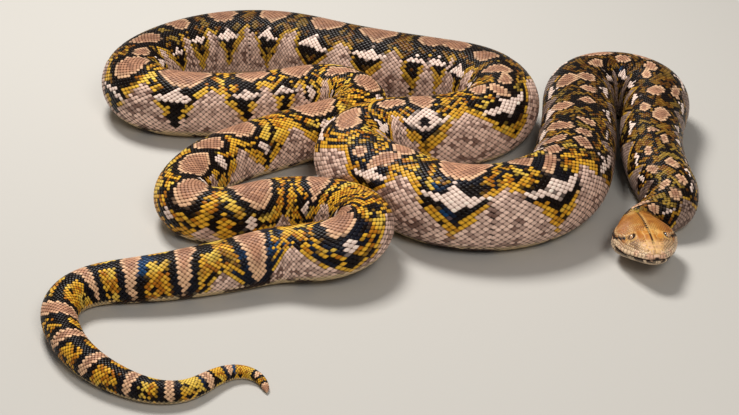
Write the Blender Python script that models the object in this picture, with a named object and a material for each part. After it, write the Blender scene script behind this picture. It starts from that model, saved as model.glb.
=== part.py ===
"""Life-size reticulated python lying at rest on level ground.

The body is one long tube laid along a course of gentle bends, flat beneath where it rests.
Where two lengths of it touch, both are pressed flat against each other, as soft bodies are.
It is divided by thin cuts into tail, trunk and neck lengths; head, lower jaw and eyes follow.
The head looks along -Y with its chin a little raised.
"""
import math

import bmesh
import bpy
import numpy as np

# ---- driving dimensions, in metres unless said otherwise ------------------------------------
CUT = 0.0003                    # gap between neighbouring lengths
SMOOTH_UNDER = 40.0             # edges flatter than this many degrees are shaded smooth
TOUCH = 0.0008                  # gap left where two lengths lie pressed together
START = (-0.1052, -0.3147)      # where the tip of the tail lies
START_HEADING = 80.0            # degrees, the way the tail tip points back along the body
EASE = 0.045                    # length over which one bend eases into the next

# Course of the body from tail tip to nape: (length in mm, turn to the left in degrees).
COURSE = (
    (62, 174), (48, -91),                          # hook of the tail tip
    (150, -62), (56, -99),                         # sweep of the tail
    (138, 22), (46, -47),                          # hind trunk, lying in front
    (74, 125), (138, 119),                         # first fold, on the right
    (92, -141), (92, -45), (120, -8),              # second fold, on the left
    (116, 186), (150, -45),                        # third fold, in the middle
    (102, -109), (206, -92), (176, 17),            # the wide sweep round the back
    (140, -134), (80, -33),                        # fourth fold, on the right
    (112, 143), (53, -9), (195, 125), (171, 10),   # the big loop in front
    (136, -197),                                   # last fold, behind the head
    (182, 33), (36, -104), (20, 60),               # neck, curving in behind the head
)

# Girth of the body: (distance from the tail tip in mm, half the width in mm).
GIRTH = (
    (0, 2.2), (12, 3.8), (30, 5.6), (58, 7.8), (115, 10.3), (172, 13.2), (258, 16.0),
    (372, 22.0), (515, 27.6), (660, 26.4), (832, 27.7), (1030, 29.8), (1262, 34.6),
    (1490, 38.1), (1720, 40.2), (1950, 38.5), (2110, 38.6), (2290, 41.6), (2405, 38.6),
    (2522, 36.8), (2640, 34.0), (2735, 31.2), (2800, 29.5), (2836, 27.6), (2858, 22.5),
    (2876, 18.6), (2891, 17.0),
)
GIRTH_EASE = 0.040

# The first fold is propped up a little on the flank of the big loop beside it.
PROP_AT = 0.560
PROP_HEIGHT = 0.0115
PROP_REACH = 0.063

SIDES = 18                      # flats round the body
WIDTH_FACTOR = 1.03             # half width over girth
BELLY_FACTOR = 0.93             # height of the middle line over girth, set by the flat belly
RING_STEP = 0.026               # ring spacing on a straight length
RING_TURN = 24.0                # degrees between rings in a bend

RING_CALM = 0.034               # behind the head the rings swing less than the bends do
RING_CALM_FROM = 0.160          # how far behind the nape that begins

# Lengths the body is divided into: (name, where it ends in mm from the tail tip).
LENGTHS = (
    ("tail_tip", 110), ("tail_sweep", 258), ("tail_root", 395),
    ("trunk_1", 540), ("trunk_2", 680), ("trunk_3", 800), ("trunk_4", 950),
    ("trunk_5", 1075), ("trunk_6", 1240), ("trunk_7", 1370), ("trunk_8", 1530),
    ("trunk_9", 1700), ("trunk_10", 1835), ("trunk_11", 1985), ("trunk_12", 2110),
    ("trunk_13", 2250), ("trunk_14", 2400), ("trunk_15", 2515), ("trunk_16", 2585),
    ("neck_rear", 2700), ("neck_front", 2795), ("nape", None),
)

# Head, measured along its own line from the nape: (forward, half width, top, widest level,
# bottom), all in mm; heights are from the level of the lips.
HEAD_STATIONS = (
    (0.0, 17.8, 25.0, 8.5, -8.2),
    (7.0, 19.6, 25.2, 7.6, -9.2),
    (14.0, 23.4, 25.2, 6.4, -10.6),
    (21.0, 27.4, 24.8, 5.0, -11.4),
    (28.0, 29.8, 24.0, 3.8, -11.4),
    (35.0, 30.0, 22.8, 2.8, -10.8),
    (42.0, 28.4, 21.2, 2.2, -9.8),
    (49.0, 25.8, 19.4, 1.8, -8.8),
    (56.0, 23.0, 17.2, 1.4, -7.8),
    (62.0, 19.4, 15.2, 1.2, -7.0),
    (68.0, 16.1, 13.2, 1.0, -6.2),
    (73.0, 13.1, 11.6, 1.0, -5.3),
    (76.6, 10.4, 10.0, 1.0, -4.2),
    (79.0, 7.2, 8.0, 1.0, -2.9),
    (80.2, 3.5, 5.4, 1.2, -1.1),
)
HEAD_SIDES = 26
HEAD_TURN = 36.0                # degrees it is turned to its left of the neck behind it
HEAD_PITCH = 14.5               # degrees the snout is raised
HEAD_ROLL = 0.8                 # degrees its left side is higher than its right
HEAD_FLOOR = 0.0070             # height of the lip level above the ground at the nape
MOUTH_LINE = (                  # (forward, height of the lips) in mm
    (-5.0, 9.0), (8.0, 10.0), (16.0, 11.8), (24.0, 11.0), (32.0, 8.2), (40.0, 4.6),
    (49.0, 1.6), (58.0, 0.3), (68.0, 1.0), (76.0, 1.5), (90.0, 1.5),
)
EYE_FORWARD = 0.0504
EYE_ASIDE = 0.0155
EYE_HEIGHT = 0.0143
EYE_RADIUS = 0.0032
NOSTRIL_FORWARD = 0.0745
NOSTRIL_ASIDE = 0.0062
NOSTRIL_HEIGHT = 0.0092
NOSTRIL_RADIUS = 0.0011

# Surfaces: name, colour, roughness.
SURFACES = {
    "tail": ((0.30, 0.22, 0.07, 1.0), 0.35),
    "trunk": ((0.34, 0.25, 0.14, 1.0), 0.35),
    "neck": ((0.28, 0.20, 0.10, 1.0), 0.35),
    "head": ((0.55, 0.30, 0.08, 1.0), 0.40),
    "jaw": ((0.60, 0.50, 0.38, 1.0), 0.40),
    "eye": ((0.70, 0.22, 0.04, 1.0), 0.10),
}


# ---- scene helpers ---------------------------------------------------------------------------
def clear_scene():
    """Start from an empty file."""
    for thing in list(bpy.data.objects):
        bpy.data.objects.remove(thing, do_unlink=True)


def make_collection(name):
    """A collection linked to the scene."""
    group = bpy.data.collections.new(name)
    bpy.context.scene.collection.children.link(group)
    return group


def make_material(name, colour, roughness):
    """A plain surface for one sub-part."""
    material = bpy.data.materials.new(name)
    material.use_nodes = True
    shader = material.node_tree.nodes["Principled BSDF"]
    shader.inputs["Base Color"].default_value = colour
    shader.inputs["Roughness"].default_value = roughness
    return material


def shade(mesh):
    """Smooth shading, kept crisp at real edges."""
    mesh.shade_smooth()
    mesh.set_sharp_from_angle(angle=math.radians(SMOOTH_UNDER))


def add_object(name, bm, group, material=None):
    """Turn a bmesh into a named object with outward faces."""
    bmesh.ops.recalc_face_normals(bm, faces=bm.faces[:])
    mesh = bpy.data.meshes.new(name)
    bm.to_mesh(mesh)
    bm.free()
    shade(mesh)
    thing = bpy.data.objects.new(name, mesh)
    group.objects.link(thing)
    if material is not None:
        mesh.materials.append(material)
    return thing


# ---- the middle line of the body -------------------------------------------------------------
def body_length():
    """Length from the tail tip to the nape."""
    return sum(length for length, _ in COURSE) / 1000.0


def heading_at(s):
    """Heading in radians at distance s, each bend eased into the next."""
    marks = np.concatenate([[0.0], np.cumsum([length for length, _ in COURSE])]) / 1000.0
    turns = np.concatenate([[0.0], np.cumsum([turn for _, turn in COURSE])])
    marks = np.concatenate([[-1.0], marks, [marks[-1] + 1.0]])
    turns = np.concatenate([[0.0], turns, [turns[-1]]])
    offsets = np.linspace(-EASE / 2, EASE / 2, 13)
    reach = np.clip((body_length() - s) / (EASE / 2), 0.0, 1.0)
    eased = np.mean([np.interp(s + o * reach, marks, turns) for o in offsets], axis=0)
    return np.radians(START_HEADING + eased)


def girth_at(s):
    """Half width in metres at distance s, smoothed along the body."""
    at = np.array([mark for mark, _ in GIRTH]) / 1000.0
    half = np.array([value for _, value in GIRTH]) / 1000.0
    reach = np.minimum(GIRTH_EASE, np.minimum(s, at[-1] - s))
    offsets = np.linspace(-0.5, 0.5, 9)
    return np.mean([np.interp(s + o * reach, at, half) for o in offsets], axis=0)


def prop_at(s):
    """How far the belly is lifted off the ground at distance s."""
    bump = np.exp(-((s - PROP_AT) / PROP_REACH) ** 2)
    lift = np.clip(bump - 0.04, 0.0, None) / 0.96
    return PROP_HEIGHT * lift


def trace_course(count=1441):
    """Even stations along the body: distance, point on the middle line, heading, girth."""
    s = np.linspace(0.0, body_length(), count)
    heading = heading_at(s)
    middle = (heading[1:] + heading[:-1]) / 2
    step = s[1]
    x = START[0] + np.concatenate([[0.0], np.cumsum(np.cos(middle))]) * step
    y = START[1] + np.concatenate([[0.0], np.cumsum(np.sin(middle))]) * step
    girth = girth_at(s)
    z = BELLY_FACTOR * girth + prop_at(s)
    left = body_length() - s
    reach = np.minimum(RING_CALM, left) * np.clip((RING_CALM_FROM - left) / 0.05, 0.0, 1.0)
    offsets = np.linspace(-1.0, 1.0, 13)
    square = np.mean([np.interp(s + o * reach, s, heading) for o in offsets], axis=0)
    part = np.clip(1.0 - left / 0.055, 0.0, 1.0)
    square = square + math.radians(HEAD_TURN) * part * part * (3 - 2 * part)
    return {"s": s, "x": x, "y": y, "z": z, "heading": heading, "square": square,
            "girth": girth}


def station(course, s):
    """Everything known at one distance along the body."""
    return {key: float(np.interp(s, course["s"], course[key])) for key in course}


def nape_pitch(s):
    """The last rings lean back with the raised head, in radians."""
    start = body_length() - 0.045
    part = np.clip((s - start) / 0.045, 0.0, 1.0)
    return math.radians(HEAD_PITCH) * float(part * part * (3 - 2 * part))


def body_ring(course, s):
    """One ring of points round the body at distance s, flat beneath, before any pressing."""
    here = station(course, s)
    floor = float(prop_at(s))
    side = (math.sin(here["square"]), -math.cos(here["square"]))
    ahead = (math.cos(here["square"]), math.sin(here["square"]))
    lean = nape_pitch(s)
    ring = []
    for i in range(SIDES):
        angle = 2 * math.pi * (i + 0.5) / SIDES
        across = WIDTH_FACTOR * here["girth"] * math.sin(angle)
        upward = here["girth"] * math.cos(angle)
        z = max(floor, here["z"] + upward)
        back = (HEAD_FLOOR - z) * math.tan(lean)
        x = here["x"] + side[0] * across + ahead[0] * back
        y = here["y"] + side[1] * across + ahead[1] * back
        ring.append((x, y, z))
    return np.array(ring), here


def press_ring(course, ring, here):
    """Flatten a ring where other lengths of the body lie against it."""
    centre = np.array([here["x"], here["y"], here["z"]])
    others = np.stack([course["x"], course["y"], course["z"]], axis=1)[::3]
    girths = course["girth"][::3] * WIDTH_FACTOR
    own = here["girth"] * WIDTH_FACTOR
    away = np.abs(course["s"][::3] - here["s"]) > 1.5 * (girths + own)
    line = others - centre
    apart = np.linalg.norm(line, axis=1)
    touching = away & (apart < girths + own + TOUCH)
    ahead = np.array([math.cos(here["square"]), math.sin(here["square"]), 0.0])
    for k in np.nonzero(touching)[0]:
        unit = line[k] / apart[k]
        inward = unit - ahead * (unit @ ahead)
        square = np.linalg.norm(inward)
        if square < 0.3:
            continue
        limit = apart[k] * own / (own + girths[k]) - TOUCH / 2
        excess = np.clip((ring - centre) @ unit - limit, 0.0, None)
        ring = ring - np.outer(excess / square ** 2, inward)
    ring[:, 2] = np.maximum(ring[:, 2], float(prop_at(here["s"])))
    return ring


def ring_distances(course, start, end):
    """Distances of the rings of one length, closer together in the bends."""
    inside = (course["s"] >= start) & (course["s"] <= end)
    heading = np.degrees(course["heading"][inside])
    turned = np.sum(np.abs(np.diff(heading)))
    count = max(3, math.ceil((end - start) / RING_STEP + turned / RING_TURN))
    s = course["s"][inside]
    effort = np.concatenate([[0.0], np.cumsum(np.diff(s) / RING_STEP
                                              + np.abs(np.diff(heading)) / RING_TURN)])
    marks = np.linspace(0.0, effort[-1], count + 1)
    distances = np.interp(marks, effort, s)
    distances[0] = start
    distances[-1] = end
    return distances


def loft(rings):
    """Skin a row of rings and close both ends."""
    bm = bmesh.new()
    rows = [[bm.verts.new(point) for point in ring] for ring in rings]
    count = len(rows[0])
    for a, b in zip(rows[:-1], rows[1:]):
        for i in range(count):
            j = (i + 1) % count
            bm.faces.new((a[i], a[j], b[j], b[i]))
    bm.faces.new(rows[0][::-1])
    bm.faces.new(rows[-1])
    bmesh.ops.triangulate(bm, faces=bm.faces[:])
    return bm


def build_length(course, name, start, end, group, material):
    """One length of the body between two thin cuts."""
    first = start + (CUT / 2 if start > 0 else 0.0)
    last = end - CUT / 2
    rings = []
    for s in ring_distances(course, first, last):
        ring, here = body_ring(course, s)
        rings.append(press_ring(course, ring, here))
    return add_object(name, loft(rings), group, material)


# ---- the head --------------------------------------------------------------------------------
def head_frame(course):
    """Origin at the nape on the lip level, with forward, left and up directions."""
    here = station(course, body_length())
    pitch = math.radians(HEAD_PITCH)
    flat = np.array([math.cos(here["square"]), math.sin(here["square"]), 0.0])
    left = np.array([-flat[1], flat[0], 0.0])
    ahead = flat * math.cos(pitch) + np.array([0.0, 0.0, math.sin(pitch)])
    up = -flat * math.sin(pitch) + np.array([0.0, 0.0, math.cos(pitch)])
    roll = math.radians(HEAD_ROLL)
    left, up = (left * math.cos(roll) + up * math.sin(roll),
                up * math.cos(roll) - left * math.sin(roll))
    origin = np.array([here["x"], here["y"], HEAD_FLOOR])
    return origin, ahead, left, up


def head_point(frame, forward, aside, height):
    """A point given along the head's own directions."""
    origin, ahead, left, up = frame
    return origin + ahead * forward + left * aside + up * height


def head_ring(frame, forward, half, top, widest, bottom):
    """One cross-section of the head: flat on top, full in the cheeks, shallow beneath."""
    snout = min(1.0, max(0.0, forward / 40.0))
    ring = []
    for i in range(HEAD_SIDES):
        angle = 2 * math.pi * (i + 0.5) / HEAD_SIDES
        s = math.sin(angle)
        c = math.cos(angle)
        across = math.copysign(abs(s) ** (1.0 + 0.12 * snout), s) * half
        rise = (top - widest) if c > 0 else (widest - bottom)
        power = 1.0 - (0.22 * snout if c > 0 else 0.15 * snout)
        upward = math.copysign(abs(c) ** power, c) * rise + widest
        point = head_point(frame, forward / 1000, -across / 1000, upward / 1000)
        point[2] = max(0.0, point[2])
        ring.append(point)
    return ring


def build_whole_head(frame, group):
    """Head and jaw together, before the mouth is cut."""
    rings = [head_ring(frame, *row) for row in HEAD_STATIONS]
    start = head_point(frame, CUT, 0.0, 0.0) - head_point(frame, 0.0, 0.0, 0.0)
    rings[0] = [point + start for point in rings[0]]
    return add_object("whole_head", loft(rings), group)


def mouth_block(frame, name, above, group):
    """Everything above or below the line of the lips, with half the cut taken off."""
    bm = bmesh.new()
    shift = CUT * 500 if above else -CUT * 500
    far = 60.0 if above else -60.0
    rows = []
    for forward, lips in MOUTH_LINE:
        near = lips + shift
        corners = [(-45.0, near), (45.0, near), (45.0, far), (-45.0, far)]
        rows.append([bm.verts.new(head_point(frame, forward / 1000, a / 1000, h / 1000))
                     for a, h in corners])
    for a, b in zip(rows[:-1], rows[1:]):
        for i in range(4):
            j = (i + 1) % 4
            bm.faces.new((a[i], a[j], b[j], b[i]))
    bm.faces.new(rows[0][::-1])
    bm.faces.new(rows[-1])
    return add_object(name, bm, group)


def ball(name, centre, radius, around, rings, group, material=None):
    """A round ball."""
    bm = bmesh.new()
    bmesh.ops.create_uvsphere(bm, u_segments=around, v_segments=rings, radius=radius)
    bmesh.ops.translate(bm, verts=bm.verts[:], vec=centre)
    return add_object(name, bm, group, material)


def combine(thing, other, operation):
    """Apply one exact Boolean."""
    modifier = thing.modifiers.new(operation.lower(), "BOOLEAN")
    modifier.operation = operation
    modifier.solver = "EXACT"
    modifier.object = other
    bpy.context.view_layer.update()
    graph = bpy.context.evaluated_depsgraph_get()
    mesh = bpy.data.meshes.new_from_object(thing.evaluated_get(graph))
    thing.modifiers.clear()
    thing.data = mesh


def hide(thing):
    """Keep a cutting shape out of the picture."""
    thing.hide_render = True
    thing.display_type = "WIRE"


def tidy(thing):
    """Merge doubled points, split the faces into triangles and turn them outward."""
    bm = bmesh.new()
    bm.from_mesh(thing.data)
    bmesh.ops.remove_doubles(bm, verts=bm.verts[:], dist=0.00002)
    bmesh.ops.dissolve_degenerate(bm, edges=bm.edges[:], dist=0.00001)
    bmesh.ops.triangulate(bm, faces=bm.faces[:])
    bmesh.ops.recalc_face_normals(bm, faces=bm.faces[:])
    bm.to_mesh(thing.data)
    bm.free()
    shade(thing.data)


def build_head(course, group, cutters, materials):
    """Head, lower jaw and the two eyes."""
    frame = head_frame(course)
    whole = build_whole_head(frame, cutters)
    upper_space = mouth_block(frame, "space_above_lips", True, cutters)
    lower_space = mouth_block(frame, "space_below_lips", False, cutters)
    head = bpy.data.objects.new("head", whole.data.copy())
    jaw = bpy.data.objects.new("lower_jaw", whole.data.copy())
    group.objects.link(head)
    group.objects.link(jaw)
    combine(head, upper_space, "INTERSECT")
    combine(jaw, lower_space, "INTERSECT")
    for side, name in ((1, "left"), (-1, "right")):
        centre = head_point(frame, EYE_FORWARD, side * EYE_ASIDE, EYE_HEIGHT)
        socket = ball("socket_" + name, centre, EYE_RADIUS + 0.0003, 12, 8, cutters)
        combine(head, socket, "DIFFERENCE")
        hide(socket)
        ball("eye_" + name, centre, EYE_RADIUS, 12, 8, group, materials["eye"])
        nose = head_point(frame, NOSTRIL_FORWARD, side * NOSTRIL_ASIDE, NOSTRIL_HEIGHT)
        nostril = ball("nostril_" + name, nose, NOSTRIL_RADIUS, 6, 4, cutters)
        combine(head, nostril, "DIFFERENCE")
        hide(nostril)
    for thing, key in ((head, "head"), (jaw, "jaw")):
        tidy(thing)
        thing.data.materials.clear()
        thing.data.materials.append(materials[key])
    for thing in (whole, upper_space, lower_space):
        hide(thing)


def build():
    """The whole animal."""
    clear_scene()
    group = make_collection("coiled_python_snake")
    cutters = make_collection("cutters")
    course = trace_course()
    materials = {}
    for key, (colour, roughness) in SURFACES.items():
        materials[key] = make_material(key, colour, roughness)
    start = 0.0
    for name, end in LENGTHS:
        last = body_length() if end is None else end / 1000.0
        key = "neck" if name == "nape" else name.split("_")[0]
        build_length(course, name, start, last, group, materials[key])
        start = last
    build_head(course, group, cutters, materials)


build()
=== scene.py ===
"""Looks of a life-size reticulated python lying in loops on level ground."""

import math

import bpy
import numpy as np
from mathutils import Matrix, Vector


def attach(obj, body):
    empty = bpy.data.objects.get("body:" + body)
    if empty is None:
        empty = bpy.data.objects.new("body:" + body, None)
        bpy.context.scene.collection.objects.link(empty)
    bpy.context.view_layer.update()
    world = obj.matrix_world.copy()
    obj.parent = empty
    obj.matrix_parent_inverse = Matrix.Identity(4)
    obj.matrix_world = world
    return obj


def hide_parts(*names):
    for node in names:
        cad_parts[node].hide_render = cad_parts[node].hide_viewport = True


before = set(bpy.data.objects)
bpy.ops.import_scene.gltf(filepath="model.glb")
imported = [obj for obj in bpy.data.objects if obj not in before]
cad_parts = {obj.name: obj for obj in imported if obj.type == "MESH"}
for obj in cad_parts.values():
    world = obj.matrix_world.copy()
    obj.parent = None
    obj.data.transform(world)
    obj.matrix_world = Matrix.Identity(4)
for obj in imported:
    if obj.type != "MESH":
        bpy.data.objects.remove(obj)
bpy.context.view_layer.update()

# ---- shape of the body, as in the solids (mm, degrees) -----------------------------------------
START = (-0.1052, -0.3147)
START_HEADING = 80.0
EASE = 0.045               # m over which a bend eases in and out
COURSE = (                 # (length mm, turn in degrees, left is positive), from the tail tip
    (62, 174), (48, -91), (150, -62), (56, -99), (138, 22), (46, -47), (74, 125), (138, 119),
    (92, -141), (92, -45), (120, -8), (116, 186), (150, -45), (102, -109), (206, -92),
    (176, 17), (140, -134), (80, -33), (112, 143), (53, -9), (195, 125), (171, 10),
    (136, -197), (182, 33), (36, -104), (20, 60),
)
GIRTH = (                  # (mm from the tail tip, half width in mm)
    (0, 2.2), (12, 3.8), (30, 5.6), (58, 7.8), (115, 10.3), (172, 13.2), (258, 16.0),
    (372, 22.0), (515, 27.6), (660, 26.4), (832, 27.7), (1030, 29.8), (1262, 34.6),
    (1490, 38.1), (1720, 40.2), (1950, 38.5), (2110, 38.6), (2290, 41.6), (2405, 38.6),
    (2522, 36.8), (2640, 34.0), (2735, 31.2), (2800, 29.5), (2836, 27.6), (2858, 22.5),
    (2876, 18.6), (2891, 17.0),
)
GIRTH_EASE = 0.040
PROP_AT = 0.560            # m from the tail tip where the body rests on another length
PROP_HEIGHT = 0.0115
PROP_REACH = 0.063
PROP_CUT = 0.04
WIDTH_FACTOR = 1.03
BELLY_FACTOR = 0.93
TOUCH = 0.0008             # m left between two lengths that press on each other
ELSEWHERE = 1.5            # how far apart along the body they are, in girths of both
TOUCH_LEAST = 0.3          # least sideways part of a push between two lengths
TIP_ROUND = 0.006          # m over which the tail tip rounds off
FLOOR_GAP = 0.0002
RING_CALM = 0.034          # m each way over which the facing of rings near the head is evened
RING_CALM_FROM = 0.160     # m behind the head where that starts
RING_CALM_EASE = 0.05
HEAD_STATIONS = (          # (forward, half width, top, widest, bottom), all in mm
    (0.0, 17.8, 25.0, 8.5, -8.2), (7.0, 19.6, 25.2, 7.6, -9.2), (14.0, 23.4, 25.2, 6.4, -10.6),
    (21.0, 27.4, 24.8, 5.0, -11.4), (28.0, 29.8, 24.0, 3.8, -11.4), (35.0, 30.0, 22.8, 2.8, -10.8),
    (42.0, 28.4, 21.2, 2.2, -9.8), (49.0, 25.8, 19.4, 1.8, -8.8), (56.0, 23.0, 17.2, 1.4, -7.8),
    (62.0, 19.4, 15.2, 1.2, -7.0), (68.0, 16.1, 13.2, 1.0, -6.2), (73.0, 13.1, 11.6, 1.0, -5.3),
    (76.6, 10.4, 10.0, 1.0, -4.2), (79.0, 7.2, 8.0, 1.0, -2.9), (80.2, 3.5, 5.4, 1.2, -1.1),
    (80.9, 0.05, 3.1, 2.2, 1.6),
)
HEAD_TURN = 36.0
HEAD_TURN_OVER = 0.055     # m over which the neck turns to the head
HEAD_PITCH = 14.5
PITCH_OVER = 0.045         # m over which the neck's rings lean to the head's pitch
HEAD_ROLL = 0.8
HEAD_FLOOR = 0.0070
MOUTH_LINE = (             # (forward mm, height mm)
    (-5.0, 9.0), (8.0, 10.0), (16.0, 11.8), (24.0, 11.0), (32.0, 8.2), (40.0, 4.6),
    (49.0, 1.6), (58.0, 0.3), (68.0, 1.0), (76.0, 1.5), (90.0, 1.5),
)
EYE = (50.4, 15.5, 14.3)   # forward, aside and height in the head's mm
EYE_RADIUS = 3.2
HEAD_STEP = 0.0004         # m between the rings of the head's grid
HEAD_AROUND = 288
HEAD_BACK = 0.036          # m of neck that the head's grid takes in
BLEND_RINGS = 30           # rings each way over which neck and head blend
BODY_STEP = 0.002
BODY_AROUND = 160
RUN_ON = 0.0121            # m of head that the body's grid takes in

# ---- scales ------------------------------------------------------------------------------------
DORSAL_SPAN = 152.0        # degrees each side covered by small scales; broad belly scales beyond
SCALES_TO = 2.905          # m from the tail tip where the rows of small scales end
SCALE_LENGTHS = (          # (mm from the tail tip, mm from one scale to the next along a row)
    (0, 2.0), (60, 2.8), (160, 3.6), (395, 4.7), (800, 5.0), (1500, 5.2), (2300, 5.1),
    (2550, 4.8), (2760, 4.2), (2895, 3.4),
)
ROW_WIDTHS = (             # (half width of the body in mm, mm from row to row on the back)
    (0, 1.3), (5, 1.5), (8, 1.75), (13, 2.0), (20, 2.15), (30, 2.2), (42, 2.4),
)
LOW_ROWS = 1.40            # how much wider the rows low on the flank are
WIDENING = (45, 120)       # degrees between which they widen
DOME_HALF = 2.8            # mm of half width at which a scale's dome has its heights in mm
ZONES = (0, 24, 48, 80, 120, 165, 215, 270, 330, 395, 460, 530, 620, 760, 900, 1040, 1150,
         1260, 1380, 1520, 1700, 1880, 2060, 2230, 2360, 2470, 2560, 2640, 2720, 2790, 2840,
         2870, 2897)
COATS = (                  # joined pieces of coat: (name, from mm, to mm, material slot)
    ("coat_tail", 0, 395, "tail_skin"), ("coat_trunk_1", 395, 760, "trunk_skin"),
    ("coat_trunk_2", 760, 1130, "trunk_skin"), ("coat_trunk_3", 1130, 1450, "trunk_skin"),
    ("coat_trunk_4", 1450, 1750, "trunk_skin"), ("coat_trunk_5", 1750, 2040, "trunk_skin"),
    ("coat_trunk_6", 2040, 2330, "trunk_skin"), ("coat_trunk_7", 2330, 2570, "trunk_skin"),
    ("coat_neck", 2570, 2897, "neck_skin"),
)
FOLD_FROM = 0.18           # bend times girth at which the inner side starts to crease
FOLD_FULL = 0.3            # how far past that the creases reach their full depth
FOLD_STEP = 10.5           # mm from crease to crease
FOLD_DEPTH = 0.0014
FOLD_ANGLE = 84.0          # degrees round from the back
FOLD_SPREAD = 40.0
BEND_REACH = 0.012         # m each way over which a bend is measured
COAT_SINK = 0.00086        # m that the coat is sunk inside the CAD outline
SKIN_DEPTH = 0.00165       # m that the skin lies inside the CAD outline
HEAD_SKIN_DEPTH = 0.0032   # the same under the plates of the head, below eye sockets and lips
SKIN_ALONG = 0.0045        # m from one ring of the skin to the next
SKIN_AROUND = 96
SKIN_HEAD_ALONG = 0.0008
SKIN_HEAD_FROM = 0.0052    # m past the start of the head's grid
SKIN_FLOOR = 0.0005        # m over the floor of the skin's lowest point
SKIN_RUN = 2.98            # m along the skin that the strips of its bake map cover
STRIPS = 12
COAT_FLOOR = 0.0003        # m over the floor of the lowest point of any scale
OUTLINE = 8                # points round a scale
SQUARENESS = 1.25
MIDDLE, SHOULDER, RIM_PART, UNDER = 0.0, 0.68, 1.0, 2.0    # parts of a scale's dome
DOME = {                   # height, its change toward the head, share of the rim colour; a share below 0 lightens the scale as a painted highlight
    MIDDLE: (-0.10, 0.0, -0.12), SHOULDER: (-0.20, -0.16, 0.06),
    RIM_PART: (-0.62, -0.36, 1.0), UNDER: (-1.25, 0.0, -0.12),
}
RINGED = 0.20              # added rim colour on the shoulders of bright scales in black rims
TONE_SPREAD = 0.07         # how much scales differ in tone
OVERLAP_ALONG = 1.04       # length and width of a scale over the room it has
OVERLAP_ACROSS = 0.97
PATCH = 0.0014             # half width of a scale's patch on the bake map
BELLY_REACH = (0.010, 2.888)     # m from the tail tip where the belly scales start and end
BELLY_EDGE = 149.0         # degrees from the midline where the broad belly scales start
BELLY_ACROSS = 10          # points across a belly scale
BELLY_LENGTH = 1.6         # length of a belly scale, in small scales
BELLY_PROFILE = (          # (place from the rear edge, depth in mm, share of the rim colour)
    (0.0, -0.95, 0.75), (0.07, -0.60, 0.1), (0.85, -0.85, 0.0), (1.10, -1.20, 0.4),
)
BELLY_INSIDE = -1.75       # mm, the inner side of a belly scale
BELLY_FLOOR = 0.0009       # m over the floor of its lowest point


# ---- small helpers -----------------------------------------------------------------------------
def interp(x, pairs):
    """Straight-line interpolation in a list of pairs."""
    table = np.array(pairs, float)
    return np.interp(x, table[:, 0], table[:, 1])


def smooth(x, low, high):
    """Soft step from 0 at low to 1 at high."""
    t = np.clip((np.asarray(x, float) - low) / (high - low), 0.0, 1.0)
    return t * t * (3 - 2 * t)


def bell(*offsets):
    """Bell of height 1 where every offset, in units of its reach, is 0."""
    return np.exp(-sum(offset ** 2 for offset in offsets))


def wrap_angle(phi):
    """The same angle from -180 to 180 degrees."""
    return (phi + 180.0) % 360.0 - 180.0


def adding_up(steps):
    """Running total of the steps, from 0."""
    return np.concatenate([[0.0], np.cumsum(steps)])


def hash01(ix, iy, seed):
    """Repeatable number between 0 and 1 for each pair of whole numbers."""
    h = ix.astype(np.int64) * 374761393 + iy.astype(np.int64) * 668265263 + seed * 144665
    h = h & 0x7fffffff
    h = ((h ^ (h >> 13)) * 1274126177) & 0x7fffffff
    h = ((h ^ (h >> 16)) * 668265263) & 0x7fffffff
    return ((h ^ (h >> 15)) & 0xffffff) / float(0xffffff)


def noise(x, y, seed):
    """Smooth noise between 0 and 1 with cells one unit across."""
    x0 = np.floor(x)
    y0 = np.floor(y)
    fx = smooth(x - x0, 0, 1)
    fy = smooth(y - y0, 0, 1)
    near, far = (hash01(x0, row, seed) * (1 - fx) + hash01(x0 + 1, row, seed) * fx
                 for row in (y0, y0 + 1))
    return near * (1 - fy) + far * fy


def linear(colour):
    """sRGB 0-255 to linear light 0-1."""
    c = np.asarray(colour, float) / 255.0
    return np.where(c <= 0.04045, c / 12.92, ((c + 0.055) / 1.055) ** 2.4)


def paint(base, colour, mask):
    """Lay a colour over another by a mask from 0 to 1."""
    return base + (np.asarray(colour) - base) * np.asarray(mask)[:, None]


def layered(base, layers):
    """Lay sRGB colours over a base, one after another: (colour, mask)."""
    for colour, mask in layers:
        base = paint(base, linear(colour), mask)
    return base


def plain(colour, n):
    """One sRGB colour for n points."""
    return np.tile(linear(colour), (n, 1))


# ---- course and surface of the body ------------------------------------------------------------
BODY = sum(length for length, _ in COURSE) / 1000.0


def heading_at(s):
    """Heading in radians at distances in metres, eased at the ends of the bends."""
    marks = adding_up([length for length, _ in COURSE]) / 1000.0
    turns = adding_up([turn for _, turn in COURSE])
    marks = np.concatenate([[-1.0], marks, [marks[-1] + 1.0]])
    turns = np.concatenate([[0.0], turns, [turns[-1]]])
    offsets = np.linspace(-EASE / 2, EASE / 2, 13)
    reach = np.clip((BODY - s) / (EASE / 2), 0.0, 1.0)
    eased = np.mean([np.interp(s + o * reach, marks, turns) for o in offsets], axis=0)
    return np.radians(START_HEADING + eased)


def girth_at(s):
    """Half width of the body in metres, smoothed along it."""
    table = np.array(GIRTH, float) / 1000.0
    reach = np.minimum(GIRTH_EASE, np.minimum(s, table[-1, 0] - s))
    offsets = np.linspace(-0.5, 0.5, 9)
    return np.mean([np.interp(s + o * reach, table[:, 0], table[:, 1]) for o in offsets], axis=0)


def body_girth(s):
    """Girth, held at its last value beyond the body's end."""
    return girth_at(np.minimum(s, BODY))


def prop_at(s):
    """How far the body is lifted, in metres, where it rests on another length."""
    rise = np.exp(-((s - PROP_AT) / PROP_REACH) ** 2)
    return PROP_HEIGHT * np.clip(rise - PROP_CUT, 0.0, None) / (1 - PROP_CUT)


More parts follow.
